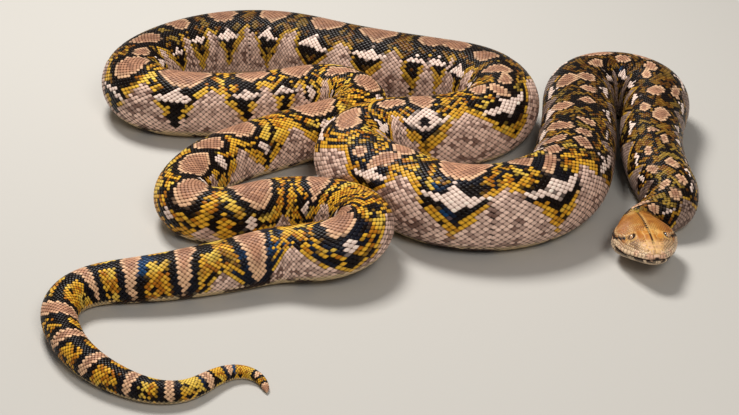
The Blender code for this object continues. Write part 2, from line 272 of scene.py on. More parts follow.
def folds(s, phi):
    """Creases on the inner sides of tight bends, in metres, never outwards."""
    bend = (heading_at(s + BEND_REACH) - heading_at(s - BEND_REACH)) / (2 * BEND_REACH)
    tight = np.clip(np.abs(bend) * body_girth(s) - FOLD_FROM, 0.0, FOLD_FULL) / FOLD_FULL
    inner = wrap_angle(phi + np.sign(bend) * FOLD_ANGLE)
    wave = s * 1000 / FOLD_STEP + 0.5 * (noise(s * 40, phi / 25, 91) - 0.5)
    crease = (0.5 + 0.5 * np.cos(2 * math.pi * wave)) ** 2
    return -FOLD_DEPTH * tight * crease * bell(inner / FOLD_SPREAD)


def trace_course(count=1441):
    """Course of the body's middle on the ground, with the way its rings face."""
    s = np.linspace(0.0, BODY, count)
    heading = heading_at(s)
    middle = (heading[1:] + heading[:-1]) / 2
    x = START[0] + adding_up(np.cos(middle)) * s[1]
    y = START[1] + adding_up(np.sin(middle)) * s[1]
    girth = girth_at(s)
    left = BODY - s
    reach = np.minimum(RING_CALM, left) * np.clip(
        (RING_CALM_FROM - left) / RING_CALM_EASE, 0.0, 1.0)
    offsets = np.linspace(-1.0, 1.0, 13)
    square = np.mean([np.interp(s + o * reach, s, heading) for o in offsets], axis=0)
    square = square + math.radians(HEAD_TURN) * smooth(1.0 - left / HEAD_TURN_OVER, 0, 1)
    return {"s": s, "x": x, "y": y, "z": BELLY_FACTOR * girth + prop_at(s), "square": square,
            "girth": girth}


COURSE_LINE = trace_course()


def plain_rings(s, here, floor, around):
    """Rings round the body before they press on each other."""
    girth = here["girth"] * np.sqrt(np.clip(s / TIP_ROUND, 0.0, 1.0))
    angle = 2 * math.pi * np.arange(around) / around
    across = WIDTH_FACTOR * girth[:, None] * np.sin(angle)
    z = np.maximum(floor[:, None], here["z"][:, None] + girth[:, None] * np.cos(angle))
    lean = math.radians(HEAD_PITCH) * smooth((s - BODY + PITCH_OVER) / PITCH_OVER, 0, 1)
    back = (HEAD_FLOOR - z) * np.tan(lean)[:, None]
    cos = np.cos(here["square"])[:, None]
    sin = np.sin(here["square"])[:, None]
    x = here["x"][:, None] + sin * across + cos * back
    y = here["y"][:, None] - cos * across + sin * back
    return np.stack([x, y, z], axis=2)


def body_rings(s, around):
    """Rings round the body at the distances s, pressed flat where lengths touch."""
    here = {key: np.interp(s, COURSE_LINE["s"], COURSE_LINE[key]) for key in COURSE_LINE}
    floor = prop_at(s) + FLOOR_GAP
    rings = plain_rings(s, here, floor, around)
    line = {key: COURSE_LINE[key][::3] for key in COURSE_LINE}
    others = np.stack([line["x"], line["y"], line["z"]], axis=1)
    girths = line["girth"] * WIDTH_FACTOR
    for i in range(len(s)):
        centre = np.array([here["x"][i], here["y"][i], here["z"][i]])
        own = here["girth"][i] * WIDTH_FACTOR
        toward = others - centre
        apart = np.linalg.norm(toward, axis=1)
        elsewhere = np.abs(line["s"] - s[i]) > ELSEWHERE * (girths + own)
        touching = elsewhere & (apart < girths + own + TOUCH)
        if not touching.any():
            continue
        ahead = np.array([math.cos(here["square"][i]), math.sin(here["square"][i]), 0.0])
        ring = rings[i]
        for k in np.nonzero(touching)[0]:
            unit = toward[k] / apart[k]
            inward = unit - ahead * (unit @ ahead)
            sideways = np.linalg.norm(inward)
            if sideways < TOUCH_LEAST:
                continue
            limit = apart[k] * own / (own + girths[k]) - TOUCH / 2
            excess = np.clip((ring - centre) @ unit - limit, 0.0, None)
            ring = ring - np.outer(excess / sideways ** 2, inward)
        ring[:, 2] = np.maximum(ring[:, 2], floor[i])
        rings[i] = ring
    return rings


class Surface:
    """Points and outward directions on an even grid of distance along and angle round."""

    def __init__(self, start, step, points):
        self.start = start
        self.step = step
        self.points = points
        along = np.gradient(points, axis=0)
        turning = np.roll(points, -1, axis=1) - np.roll(points, 1, axis=1)
        normal = np.cross(turning, along)
        size = np.linalg.norm(normal, axis=2, keepdims=True)
        self.normals = normal / np.maximum(size, 1e-12)

    def look(self, grid, u, phi):
        """Grid values at distance u in metres and angle phi in degrees."""
        rows, columns = grid.shape[:2]
        i = np.clip((u - self.start) / self.step, 0, rows - 1.0001)
        j = (phi / 360.0 * columns) % columns
        i0 = i.astype(int)
        j0 = j.astype(int) % columns
        j1 = (j0 + 1) % columns
        fi = (i - i0)[..., None]
        fj = (j - np.floor(j))[..., None]
        near, far = (grid[row, j0] * (1 - fj) + grid[row, j1] * fj for row in (i0, i0 + 1))
        return near * (1 - fi) + far * fi

    def at(self, u, phi, height=0.0):
        """Position at a height in metres over the surface."""
        point = self.look(self.points, u, phi)
        normal = self.look(self.normals, u, phi)
        normal /= np.maximum(np.linalg.norm(normal, axis=-1, keepdims=True), 1e-9)
        return point + normal * np.asarray(height)[..., None]


# ---- the head's own directions -----------------------------------------------------------------
def head_axes():
    """The head's origin and its unit directions ahead, left and up."""
    square = COURSE_LINE["square"][-1]
    pitch = math.radians(HEAD_PITCH)
    roll = math.radians(HEAD_ROLL)
    flat = np.array([math.cos(square), math.sin(square), 0.0])
    left = np.array([-flat[1], flat[0], 0.0])
    ahead = flat * math.cos(pitch) + np.array([0.0, 0.0, math.sin(pitch)])
    up = -flat * math.sin(pitch) + np.array([0.0, 0.0, math.cos(pitch)])
    rolled_left = left * math.cos(roll) + up * math.sin(roll)
    rolled_up = up * math.cos(roll) - left * math.sin(roll)
    origin = np.array([COURSE_LINE["x"][-1], COURSE_LINE["y"][-1], HEAD_FLOOR])
    return origin, ahead, rolled_left, rolled_up


HEAD = head_axes()


def head_point(forward, aside, height):
    """World position of points given in the head's mm."""
    origin, *axes = HEAD
    return origin + sum(np.multiply.outer(mm, axis) / 1000
                        for mm, axis in zip((forward, aside, height), axes))


def head_local(points):
    """The head's mm (forward, aside, height) of world positions."""
    origin, *axes = HEAD
    away = (points - origin) * 1000
    return [away @ axis for axis in axes]


def curve_through(x, xp, fp):
    """Smooth curve through points, with no overshoot between them."""
    h = np.diff(xp)
    slope = np.diff(fp) / h
    m = np.zeros(len(xp))
    before = slope[:-1]
    after = slope[1:]
    same = before * after > 0
    m[1:-1][same] = 2 * before[same] * after[same] / (before[same] + after[same])
    m[0] = slope[0]
    m[-1] = slope[-1]
    k = np.clip(np.searchsorted(xp, x) - 1, 0, len(xp) - 2)
    t = (x - xp[k]) / h[k]
    return ((2 * t ** 3 - 3 * t ** 2 + 1) * fp[k] + (t ** 3 - 2 * t ** 2 + t) * h[k] * m[k]
            + (-2 * t ** 3 + 3 * t ** 2) * fp[k + 1] + (t ** 3 - t ** 2) * h[k] * m[k + 1])


def head_rings(forward, around):
    """Plain rings of the head, before any sculpting."""
    table = np.array(HEAD_STATIONS, float)
    half, top, widest, bottom = (curve_through(forward, table[:, 0], table[:, k])
                                 for k in (1, 2, 3, 4))
    snout = np.clip(forward / 40.0, 0.0, 1.0)[:, None]
    angle = 2 * math.pi * np.arange(around) / around
    s = np.sin(angle)[None, :]
    c = np.cos(angle)[None, :]
    across = np.sign(s) * np.abs(s) ** (1.0 + 0.12 * snout) * half[:, None]
    rise = np.where(c > 0, (top - widest)[:, None], (widest - bottom)[:, None])
    power = np.where(c > 0, 1.0 - 0.22 * snout, 1.0 - 0.15 * snout)
    upward = np.sign(c) * np.abs(c) ** power * rise + widest[:, None]
    rings = head_point(np.broadcast_to(forward[:, None], across.shape), -across, upward)
    rings[..., 2] = np.maximum(rings[..., 2], FLOOR_GAP)
    return rings


def even_forward(step):
    """Forward distances of head rings evenly spaced along its outline."""
    table = np.array(HEAD_STATIONS, float)
    f = np.linspace(0.0, table[-1, 0], 4000)
    half = curve_through(f, table[:, 0], table[:, 1])
    run = adding_up(np.hypot(np.diff(f), np.diff(half) * 0.7))
    return np.interp(np.arange(0.0, run[-1], step), run, f)


def build_head_surface():
    """Rear of the head and neck through to the snout, smoothed where they meet."""
    behind = np.arange(BODY - HEAD_BACK, BODY - HEAD_STEP / 2, HEAD_STEP)
    forward = even_forward(HEAD_STEP * 1000)
    rings = np.concatenate([body_rings(behind, HEAD_AROUND), head_rings(forward, HEAD_AROUND)])
    joint = len(behind)
    index = np.arange(len(rings))
    width = np.clip(BLEND_RINGS - np.abs(index - joint) * 0.45, 0.0, BLEND_RINGS)
    total = np.zeros_like(rings)
    weight = np.zeros(len(rings))
    for o in range(-BLEND_RINGS, BLEND_RINGS + 1):
        k = np.clip(index + o, 0, len(rings) - 1)
        w = np.exp(-0.5 * (o / np.maximum(width / 2, 0.2)) ** 2)
        total += rings[k] * w[:, None, None]
        weight += w
    rings = total / weight[:, None, None]
    rings[..., 2] = np.maximum(rings[..., 2], FLOOR_GAP)
    return Surface(behind[0], HEAD_STEP, rings), joint


HEAD_SURFACE, HEAD_JOINT = build_head_surface()


def build_body_surface():
    """The whole body, running a little way on to the head."""
    s = np.arange(0.0, BODY + RUN_ON, BODY_STEP)
    rings = np.zeros((len(s), BODY_AROUND, 3))
    near = s > HEAD_SURFACE.start + 0.001
    rings[~near] = body_rings(s[~near], BODY_AROUND)
    angle = 360.0 * np.arange(BODY_AROUND) / BODY_AROUND
    u, phi = np.meshgrid(s[near], angle, indexing="ij")
    rings[near] = HEAD_SURFACE.look(HEAD_SURFACE.points, u, phi)
    return Surface(0.0, BODY_STEP, rings)


BODY_SURFACE = build_body_surface()

# ---- markings ----------------------------------------------------------------------------------
WHITE = (248, 222, 208)
TAN = (180, 132, 104)
RIM = (226, 184, 146)
GOLD = (242, 182, 54)
DEEP_GOLD = (184, 112, 26)
YELLOW = (250, 216, 96)
BLACK = (20, 11, 8)
# the next colour is a painted blue sheen on the black
SHEEN_BLUE = (26, 48, 76)
MAUVE = (238, 202, 184)
MAUVE_DARK = (104, 72, 62)
GLINT = (24, 62, 102)
OLIVE = (98, 64, 28)
UMBER = (54, 30, 13)
CREAM = (222, 196, 150)
CORE_EDGE = (50, 32, 28)   # rims of the scales in the cores, lobes and white marks: partly their own dark edges, partly painted shade
LOBE_EDGE = (104, 66, 46)
WHITE_EDGE = (140, 106, 92)

# White marks on the flanks: (mm from the tail tip, degrees from the midline, size).
MARKS_RIGHT = (
    (60, 80, 0.2), (100, 80, 0.2), (132, 80, 0.25), (170, 80, 0.3), (208, 75, 0.35),
    (250, 75, 0.4), (298, 75, 0.4), (342, 80, 0.4), (388, 90, 0.4),
    (447, 80, 0.5), (527, 60, 0.55), (592, 60, 0.6), (655, 60, 0.6), (722, 58, 0.6),
    (790, 58, 0.6), (850, 56, 0.6), (912, 62, 0.6), (985, 58, 0.6), (1045, 56, 0.6),
    (1105, 54, 0.65), (1165, 52, 0.7), (1225, 52, 0.8), (1290, 52, 0.8), (1355, 52, 0.8),
    (1410, 54, 0.5), (1444, 48, 0.65), (1489, 49, 0.75), (1546, 51, 0.85), (1612, 51, 0.9),
    (1677, 49, 0.95), (1729, 45, 0.6), (1753, 46, 0.6), (1786, 54, 0.85), (1845, 58, 0.8),
    (1905, 54, 0.9), (1970, 54, 1.0), (2045, 56, 1.0), (2130, 56, 0.9),
    (2206, 53, 1.05), (2277, 53, 1.1), (2340, 60, 0.85), (2385, 48, 0.4), (2428, 47, 0.75),
    (2478, 45, 0.65), (2537, 50, 0.85), (2590, 47, 0.7), (2634, 52, 0.7), (2686, 40, 0.6),
    (2738, 48, 0.5), (2792, 57, 0.4), (2821, 66, 0.4), (2860, 60, 0.4),
)
MARKS_LEFT = (
    (60, 80, 0.2), (100, 80, 0.2), (132, 80, 0.25), (170, 80, 0.3), (208, 75, 0.35),
    (250, 75, 0.4), (298, 75, 0.4), (342, 75, 0.4), (388, 80, 0.4),
    (447, 75, 0.5), (520, 70, 0.55), (585, 72, 0.5), (650, 70, 0.5), (718, 84, 0.5),
    (770, 78, 0.5), (830, 62, 0.6), (895, 60, 0.6), (960, 60, 0.6), (1025, 62, 0.6),
    (1085, 64, 0.5), (1140, 62, 0.55), (1167, 49, 0.55), (1203, 46, 0.75), (1267, 55, 0.9),
    (1320, 70, 0.7), (1375, 56, 0.8), (1432, 50, 0.8), (1489, 50, 0.8), (1546, 50, 0.85),
    (1612, 50, 0.9), (1677, 50, 0.95), (1745, 50, 0.9), (1815, 52, 0.9),
    (1892, 47, 1.0), (1965, 47, 1.0), (2035, 46, 0.9), (2105, 50, 0.9), (2180, 50, 1.0),
    (2250, 50, 1.0), (2315, 52, 1.0), (2375, 54, 0.9), (2425, 54, 0.8), (2480, 52, 0.8),
    (2535, 52, 0.8), (2585, 52, 0.8), (2635, 52, 0.7), (2680, 56, 0.5), (2732, 52, 0.5),
    (2765, 45, 0.35), (2800, 50, 0.3), (2823, 36, 0.3), (2840, 48, 0.3), (2875, 50, 0.3),
)
# Tan lobes over the back: (mm from the tail tip, degrees, half length mm, half height degrees,
# lean in mm along the body for each 30 degrees, how peaked).
LOBES = (
    (4, 0, 5, 260, 0, 2), (20, 0, 2.5, 70, 0, 2), (46, 0, 3, 80, 0, 2), (69, 0, 4, 110, 0, 2),
    (100, 0, 3.5, 110, 0, 2), (131, 0, 4, 110, 0, 2), (170, 0, 5, 110, -1, 2),
    (208, 0, 5.5, 110, -2, 2),
    (246, 8, 8.5, 110, -3, 2), (299, 0, 6.5, 115, 2, 0.8), (341, 0, 8, 118, 0, 0.7),
    (388, 0, 8.5, 120, -1, 0.8), (447, 0, 12.5, 118, 0, 0.7), (527, -4, 16, 40, -3, 1.2),
    (556, -42, 17, 34, -20, 1.6), (642, 6, 11, 58, 2, 1.3), (708, 8, 20, 68, 2, 1.2),
    (766, 8, 15, 62, 3, 1.2), (818, 22, 26, 30, 3, 2), (858, 2, 13, 28, 5, 1.6),
    (896, -14, 19, 44, 4, 1.3), (985, -14, 23, 46, 0, 1.3), (1062, 18, 14, 30, 0, 2),
    (1098, -6, 10, 26, -14, 2), (1143, 8, 18, 32, -5, 1.3), (1192, 8, 17, 30, -4, 1.3),
    (1264, 4, 27, 42, 0, 1.15), (1326, -12, 15, 32, 3, 1.6), (1354, 14, 11, 14, 6, 2),
    (1388, 2, 13, 24, 8, 1.8), (1437, -4, 11.5, 24, 0, 2), (1487, -4, 13.5, 26, 0, 1.9),
    (1545, -4, 15.5, 27, 0, 1.8), (1611, -4, 19, 26, 2, 1.7), (1676, -4, 21, 27, 0, 1.5),
    (1740, -6, 16, 20, 0, 2), (1764, -6, 16, 20, 0, 2), (1805, 6, 13, 18, -4, 2),
    (1843, 10, 10, 22, -4, 2), (1864, -6, 10, 10, 0, 2), (1884, -14, 6, 20, 0, 1.6),
    (1900, 6, 12, 14, 0, 2), (1965, 6, 13, 28, 0, 1.6), (1998, -4, 15, 12, 0, 2),
    (2050, 8, 20, 20, -6, 1.8), (2103, 24, 7, 10, -3, 2), (2133, 24, 10, 22, -12, 2),
    (2135, -14, 14, 18, 8, 2), (2206, -16, 28, 38, 0, 1.2),
    (2289, 12, 9, 16, -16, 2), (2312, -10, 9, 14, -8, 2), (2266, -14, 12, 18, 6, 2),
    (2342, 16, 9, 15, -6, 2), (2362, 12, 7, 13, 0, 2), (2388, 12, 7, 14, -4, 2),
    (2376, -26, 11, 20, -12, 2), (2340, -24, 9, 16, 6, 2), (2426, -30, 9, 18, -6, 2),
    (2436, 8, 6, 13, 0, 2), (2466, 12, 8, 13, 0, 2), (2496, 8, 9, 15, 0, 2),
    (2491, -23, 15, 17, 0, 2.2), (2543, 12, 11, 11, 0, 2), (2560, -20, 12, 16, 6, 2),
    (2583, 10, 8, 12, 0, 2), (2600, -22, 10, 16, 4, 2), (2622, 4, 9, 13, 6, 2),
    (2636, 20, 10, 8, 0, 2), (2676, 0, 9, 15, -2, 2.4), (2666, -36, 11, 10, 3, 2),
    (2708, 12, 8, 9, 8, 2), (2722, -16, 14, 13, 0, 2.6), (2755, 8, 5, 10, -4, 2),
    (2773, -12, 9, 9, 0, 2), (2791, 28, 7, 11, 0, 2), (2820, 34, 9, 10, 0, 2),
    (2815, -10, 8, 10, 0, 2), (2838, -20, 5, 13, -3, 2), (2858, -24, 6, 16, -4, 2),
    (2850, 12, 8, 9, 0, 2), (2883, -30, 5, 22, -4, 2), (2880, 24, 6, 16, 4, 2),
)
# How golden the ground is along the body: (mm, 0 dull brown to 1 bright gold).
GOLDNESS = (
    (0, 0.95), (800, 1.0), (1040, 0.95), (1300, 0.95), (1370, 0.35), (1480, 0.15), (1780, 0.15),
    (1850, 0.35), (1900, 0.85), (2060, 0.8), (2300, 0.9), (2340, 0.55), (2400, 0.28),
    (2520, 0.15), (2640, 0.12), (2720, 0.20), (2800, 0.32), (2895, 0.40),
)
LOBE_TONE = (              # how light the lobes are along the body
    (0, 1.12), (430, 1.15), (560, 1.05), (1300, 1.0), (1400, 0.72), (1820, 0.74), (1890, 0.98),
    (2170, 1.05), (2206, 1.25), (2240, 1.05), (2330, 0.98), (2895, 0.95),
)
EYESPOTS = (               # dark eyes inside white marks: (mm, degrees, radius mm)
    (1966, -44, 5.0), (2276, 51, 1.7), (2341, 60, 1.8), (2427, 47, 1.3),
)
# Where the pale core of each flank cell starts, in degrees: (mm, degrees), by side.
CORE_RIGHT = (
    (0, 125), (394, 122), (403, 62), (424, 62), (440, 44), (600, 46), (660, 62),
    (800, 60), (860, 44), (900, 36), (1000, 36), (1100, 34), (2300, 31), (2895, 40),
)
CORE_LEFT = (
    (0, 125), (430, 118), (500, 80), (600, 42), (648, 72), (700, 78), (800, 80), (900, 60),
    (1100, 34), (1200, 28), (1350, 40), (1880, 30), (2000, 26), (2300, 32), (2895, 36),
)
CORE_SHARE = (             # (mm, share of the room between two marks that the core takes up)
    (0, 0.0), (392, 0.2), (403, 0.6), (440, 1.0), (600, 1.0), (650, 0.7), (800, 0.7), (860, 0.9),
    (1100, 1.0), (2895, 1.0),
)
CORE_TONE = (              # (mm, how light the cores are)
    (0, 1.0), (1300, 1.0), (1400, 0.85), (1800, 0.85), (1860, 1.0), (2325, 1.0), (2375, 0.40),
    (2895, 0.45),
)
CORE_RISE = (-8, 4, 14, 30, 45, 60, 75, 95)            # degrees past a core's first edge
CORE_SPREAD = (-0.15, 0.01, 0.12, 0.21, 0.31, 0.42, 0.49, 0.53)   # half width, share of its room
GOLD_BAND = (              # (mm, width of the gold band round a core in mm)
    (0, 6.0), (430, 5.0), (590, 6.0), (640, 13.0), (1000, 13.0), (1040, 8.5), (1300, 8.5),
    (1400, 6.0), (1850, 6.0), (1900, 9.0), (2320, 9.0), (2360, 2.0), (2895, 2.0),
)
OUTLINES = (               # (mm, width of the black line round a lobe in mm)
    (0, 2.4), (60, 3.4), (120, 5.4), (430, 6.4), (860, 5.8), (1040, 4.8), (1290, 4.8),
    (1390, 7.6), (1850, 6.6), (1900, 5.2), (2320, 4.6), (2360, 3.0), (2895, 2.2),
)
DARKNESS = (               # (mm, share of the ground that is black)
    (0, 0.14), (400, 0.10), (1000, 0.12), (1300, 0.26), (1380, 0.36), (1850, 0.36),
    (1900, 0.14), (2320, 0.16), (2360, 0.42), (2895, 0.40),
)
ARCS = (                   # (mm, strength of the black arcs drawn parallel to a core's edge)
    (0, 0.0), (400, 0.0), (440, 1.0), (575, 1.0), (600, 0.0), (1005, 0.0), (1030, 1.0),
    (1300, 1.0), (1380, 0.35), (1850, 0.35), (1900, 1.0), (2320, 1.0), (2360, 0.3), (2895, 0.2),
)
WARMTH = (                 # (mm, how far the yellow leans to orange)
    (0, 0.35), (430, 0.45), (620, 1.0), (860, 0.9), (1000, 0.7), (1400, 0.6), (1850, 0.7),
    (2000, 1.0), (2330, 1.0), (2895, 0.7),
)
ARC_STEP = 11.0            # mm from one arc to the next
ARC_WIDTH = 3.8
FRAME_GOLD = 9.0           # mm from a lobe's black line to the arc inside the gold cells
GLINTS = (                 # blue sheen on the black: (mm, degrees, reach mm)
    (38, -25, 9), (82, -25, 7), (350, 6, 9), (352, 32, 8), (442, 48, 8), (468, 30, 12),
    (505, 55, 6), (428, 55, 7), (2200, 74, 5), (2192, 33, 5), (2580, 34, 5),
)
SHEEN_SHARE = (               # (mm, share of the black that is painted a broad blue sheen)
    (0, 0.05), (330, 0.1), (430, 0.22), (600, 0.18), (700, 0.0), (1900, 0.0), (2150, 0.16),
    (2240, 0.16), (2330, 0.0),
)
BELLY_FROM = ((0, 108), (900, 116), (2895, 124))       # degrees where the belly colour starts
BELLY_FULL = ((0, 124), (900, 132), (2895, 142))
FAR_OUT = 60.0             # mm given to places that are near no core
FIRST_WHITE = 420          # mm from the tail tip where the marks turn white
FULL_MARKS = 1150          # mm where they reach their full shape
LAST_SPIKE = 1350          # mm where the black spikes below them end
MARKED_TO = 2891           # mm where the body's markings end


class Places:
    """Places on the body in mm and degrees, as they are and with the wobble of real markings."""

    def __init__(self, s, phi):
        self.s = np.asarray(s, float)
        self.phi = wrap_angle(np.asarray(phi, float))
        self.count = len(self.s)
        radius = body_girth(self.s / 1000.0) * 1000.0
        self.mm = radius * math.pi / 180.0
        self.arc = self.phi * self.mm
        self.thin = np.clip(radius / 30.0, 0.25, 1.0)
        self.ws = self.s + self.wobble(11, 15, 12) * self.thin
        self.wphi = (self.arc + self.wobble(13, 16, 14) * self.thin) / self.mm
        self.fine = hash01(np.floor(self.s / 1.7), np.floor(self.arc / 1.3), 22)

    def noise(self, size, seed):
        """Smooth noise between 0 and 1 with cells of a size in mm."""
        return noise(self.s / size, self.arc / size, seed)

    def wobble(self, middling, broad, small):
        """How far a marking strays, in mm, from three seeds."""
        return ((self.noise(9, middling) - 0.5) * 4 + (self.noise(24, broad) - 0.5) * 5
                + (self.noise(3.5, small) - 0.5))

    def along(self, table):
        """Values of a table of (mm from the tail tip, value)."""
        return interp(self.s, table)


def ground_colour(p):
    """Gold beads broken by black, or dull brown where the animal is dull."""
    bright = layered(plain(GOLD, p.count), (
        (DEEP_GOLD, smooth(p.fine, 0.45, 0.85)), (YELLOW, smooth(p.noise(12, 23), 0.55, 0.8) * 0.7)))
    dull = layered(plain(OLIVE, p.count), ((UMBER, smooth(p.fine, 0.25, 0.7)),))
    gold = p.along(GOLDNESS)[:, None]
    share = p.along(DARKNESS) * 0.55
    broken = smooth(p.noise(4.6, 21) * 0.8 + p.fine * 0.2, 0.26 + share, 0.20 + share)
    return layered(bright * gold + dull * (1 - gold), ((BLACK, broken),))


def black_colour(p):
    """Black, blue where it has a sheen."""
    sheen = np.zeros(p.count)
    for at, height, reach in GLINTS:
        sheen = np.maximum(sheen, bell((p.s - at) / reach, (p.arc - height * p.mm) / reach))
    sheen *= smooth(p.noise(5, 41), 0.30, 0.52)
    # a broad painted blue sheen over the black, then painted glints of it
    broad_sheen = smooth(p.noise(16, 42), 0.45, 0.65) * p.along(SHEEN_SHARE)
    return layered(plain(BLACK, p.count), ((SHEEN_BLUE, broad_sheen), (GLINT, np.clip(sheen * 1.3, 0, 1))))


def core_distance(p):
    """How far out of the nearest flank core, in mm, and the angle where that core starts."""
    out = np.full(p.count, FAR_OUT)
    first = np.full(p.count, 200.0)
    for sign, marks, cores in ((1, MARKS_RIGHT, CORE_RIGHT), (-1, MARKS_LEFT, CORE_LEFT)):
        own = (p.wphi >= 0) == (sign > 0)
        places = np.array(marks, float)[:, 0]
        for at, gap in zip((places[1:] + places[:-1]) / 2, np.diff(places)):
            near = np.flatnonzero(own & (np.abs(p.s - at) < gap * 1.2))
            room = gap * float(interp(at, CORE_SHARE))
            if not len(near) or room < 1:
                continue
            start = float(interp(at, cores))
            above = np.abs(p.wphi[near]) - start
            reach = np.interp(above, CORE_RISE, np.array(CORE_SPREAD) * room)
            away = np.abs(p.ws[near] - at) - reach
            over_top = np.hypot(np.maximum(away, 0), (4 - above) * p.mm[near] * 0.8)
            away = np.where(above < 4, over_top, away)
            closer = away < out[near]
            out[near[closer]] = away[closer]
            first[near[closer]] = start
    return out, first


def lobe_distance(p):
    """How far out of the nearest lobe, in mm, from the slope of the lobe's own shape."""
    out = np.full(p.count, 99.0)
    for at, height, half, tall, lean, peak in LOBES:
        near = np.abs(p.s - at) < half + 60
        if not near.any():
            continue
        mm = p.mm[near]
        dy = p.wphi[near] - height
        dx = p.ws[near] - at - lean * dy / 30.0
        shape = (np.abs(dx) / half) ** 2 + (np.abs(dy) / tall) ** peak
        root = np.sqrt(np.maximum(shape, 1e-6))
        rise = 0.5 * peak * np.maximum(np.abs(dy), 3) ** (peak - 1) / tall ** peak / mm
        slope = np.hypot(dx / half ** 2, rise) / root
        away = np.where(root > 1, (root - 1) / np.maximum(slope, 1e-3),
                        (root - 1) * np.minimum(half, tall * mm))
        out[near] = np.minimum(out[near], away)
    return out


def paint_flanks(p, colour, edge, black, out, first, framed):
    """Black arcs, gold beads and the pale core of each flank cell."""
    cell = smooth(np.abs(p.wphi), first - 40, first - 26)
    wide = p.along(GOLD_BAND) * p.thin * (0.72 + 0.56 * p.noise(14, 34))
    turn = (out - wide + 1.2 * (p.noise(7, 33) - 0.5)) % ARC_STEP
    arcs = smooth(np.abs(turn - ARC_WIDTH / 2), ARC_WIDTH / 2 + 0.5, ARC_WIDTH / 2 - 0.5)
    arcs *= smooth(out, wide - 0.5, wide + 0.5) * smooth(out, FAR_OUT - 1, FAR_OUT - 5)
    colour = paint(colour, black, arcs * p.along(ARCS))
    ring = smooth(out, wide + 3.3, wide + 2.5) * smooth(out, wide - 0.4, wide + 0.4)
    colour = paint(colour, black, ring * cell * (1 - framed))
    warm = p.along(WARMTH)
    lit = layered(plain(YELLOW, p.count), (
        (GOLD, 0.25 + 0.75 * warm), (DEEP_GOLD, smooth(p.fine, 0.5, 0.9) * 0.6 * warm)))
    lit = lit * (0.55 + 0.45 * p.along(GOLDNESS))[:, None]
    beads = smooth(out, wide + 0.3, wide - 0.5) * cell
    colour = paint(colour, lit, beads * smooth(p.fine, 0.13, 0.21))
    tone = p.along(CORE_TONE)[:, None]
    shade = smooth(p.noise(8, 31), 0.25, 0.75)
    core = layered(plain(MAUVE, p.count), (
        (MAUVE_DARK, smooth(p.fine, 0.30, 0.9) * (0.42 + 0.5 * shade)),))
    inside = smooth(out, 0.5, -0.5)
    return (paint(colour, core * tone, inside),
            paint(edge, linear(CORE_EDGE) * tone, inside))


def mark_shape(at, x, y):
    """White mark and its black surround, 0 to 1, at x mm along and y mm down from its middle."""
    broad, deep = (17.0, 21.0) if at < FULL_MARKS else (22.0, 14.0)
    up = np.abs(x) / broad + np.clip(y - 2, 0, None) / deep
    down = np.abs(x) / broad + np.clip(-y, 0, None) / 22
    surround = smooth(np.where(y > 0, up, down), 1.04, 0.96)
    spike = (np.abs(x) / 4.2 < 1) & (y > 0) & (y < 38) & (at < LAST_SPIKE)
    bar = (x / 19) ** 2 + ((y - 0.006 * x * x) / 4.6) ** 2
    stem = np.abs(x) / 5.0 + np.clip(-y, 0, None) / 15 + np.clip(y - 3, 0, None) / 4
    if at < FULL_MARKS:
        bar = (x / 8.0) ** 2 + (y / 14) ** 2
        stem = bar
    elif 1860 < at < 2330:
        bar = (x / 23) ** 2 + ((y + 0.008 * x * x) / 4.2) ** 2
        across = 20.0 if 1940 < at < 1990 else 8.0
        stem = np.abs(x) / across + np.clip(-y, 0, None) / 17 + np.clip(y, 0, None) / 10
    white = smooth(np.minimum(bar, stem), 1.1, 0.85) * (at > FIRST_WHITE)
    return white, surround, spike


def paint_marks(p, colour, edge, black, black_edge):
    """White marks with their black surrounds, between the cores of the flanks."""
    for sign, marks in ((1, MARKS_RIGHT), (-1, MARKS_LEFT)):
        own = (p.wphi >= 0) == (sign > 0)
        for at, height, size in marks:
            near = own & (np.abs(p.s - at) < 45)
            if not near.any():
                continue
            x = (p.ws[near] - at) / size
            y = (np.abs(p.wphi[near]) - height) * p.mm[near] / size
            white, surround, spike = mark_shape(at, x, y)
            cover = np.maximum(surround, spike * smooth(p.s[near], 430, 470))
            for base, dark, light in ((colour, black, WHITE), (edge, black_edge, WHITE_EDGE)):
                base[near] = layered(paint(base[near], dark[near], cover), ((light, white),))


def markings(s, phi):
    """Colour of a scale and of its rim, at s mm from the tail and phi degrees from the midline."""
    p = Places(s, phi)
    black = black_colour(p)
    # rims of black scales darker than black: painted shade
    black_edge = plain(BLACK, p.count) * 0.6
    out, first = core_distance(p)
    away = lobe_distance(p)
    line = p.along(OUTLINES)
    framed = smooth(p.s, 575, 600) * smooth(p.s, 1030, 1005)
    colour, edge = paint_flanks(p, ground_colour(p), black_edge, black, out, first, framed)
    # an arc inside the gold cells of the middle length, then the black lines round the lobes
    inner = smooth(np.abs(away - line - FRAME_GOLD), 2.2, 1.6)
    colour = paint(colour, black, inner * framed * smooth(out, -0.5, 1.5))
    saddle = smooth(np.abs(p.wphi - 2), 17, 12) * smooth(p.s, 95, 125) * smooth(p.s, 425, 395)
    line = line * (1 + 3 * saddle)
    lined = smooth(away, line + 0.6, line - 0.4)
    colour = paint(colour, black, lined)
    edge = paint(edge, black_edge, lined)
    paint_marks(p, colour, edge, black, black_edge)
    for at, height, reach in EYESPOTS:
        spot = smooth(np.hypot(p.s - at, (p.phi - height) * p.mm), reach + 0.6, reach - 0.4)
        colour = paint(colour, black, spot)
        edge = paint(edge, black_edge, spot)
    lobe = layered(plain(TAN, p.count), (
        (MAUVE_DARK, smooth(p.noise(5, 51), 0.35, 0.9) * 0.5),
        (RIM, smooth(away, -3.4, -1.0) * 0.85)))
    inside = smooth(away, 0.4, -0.4)
    colour = paint(colour, lobe * p.along(LOBE_TONE)[:, None], inside)
    edge = paint(edge, linear(LOBE_EDGE), inside)
    belly = smooth(np.abs(p.phi), p.along(BELLY_FROM), p.along(BELLY_FULL))
    pale = layered(plain(CREAM, p.count), ((UMBER, smooth(p.noise(11, 61), 0.62, 0.7)),))
    return paint(colour, pale, belly), paint(edge, pale * 0.5, belly)


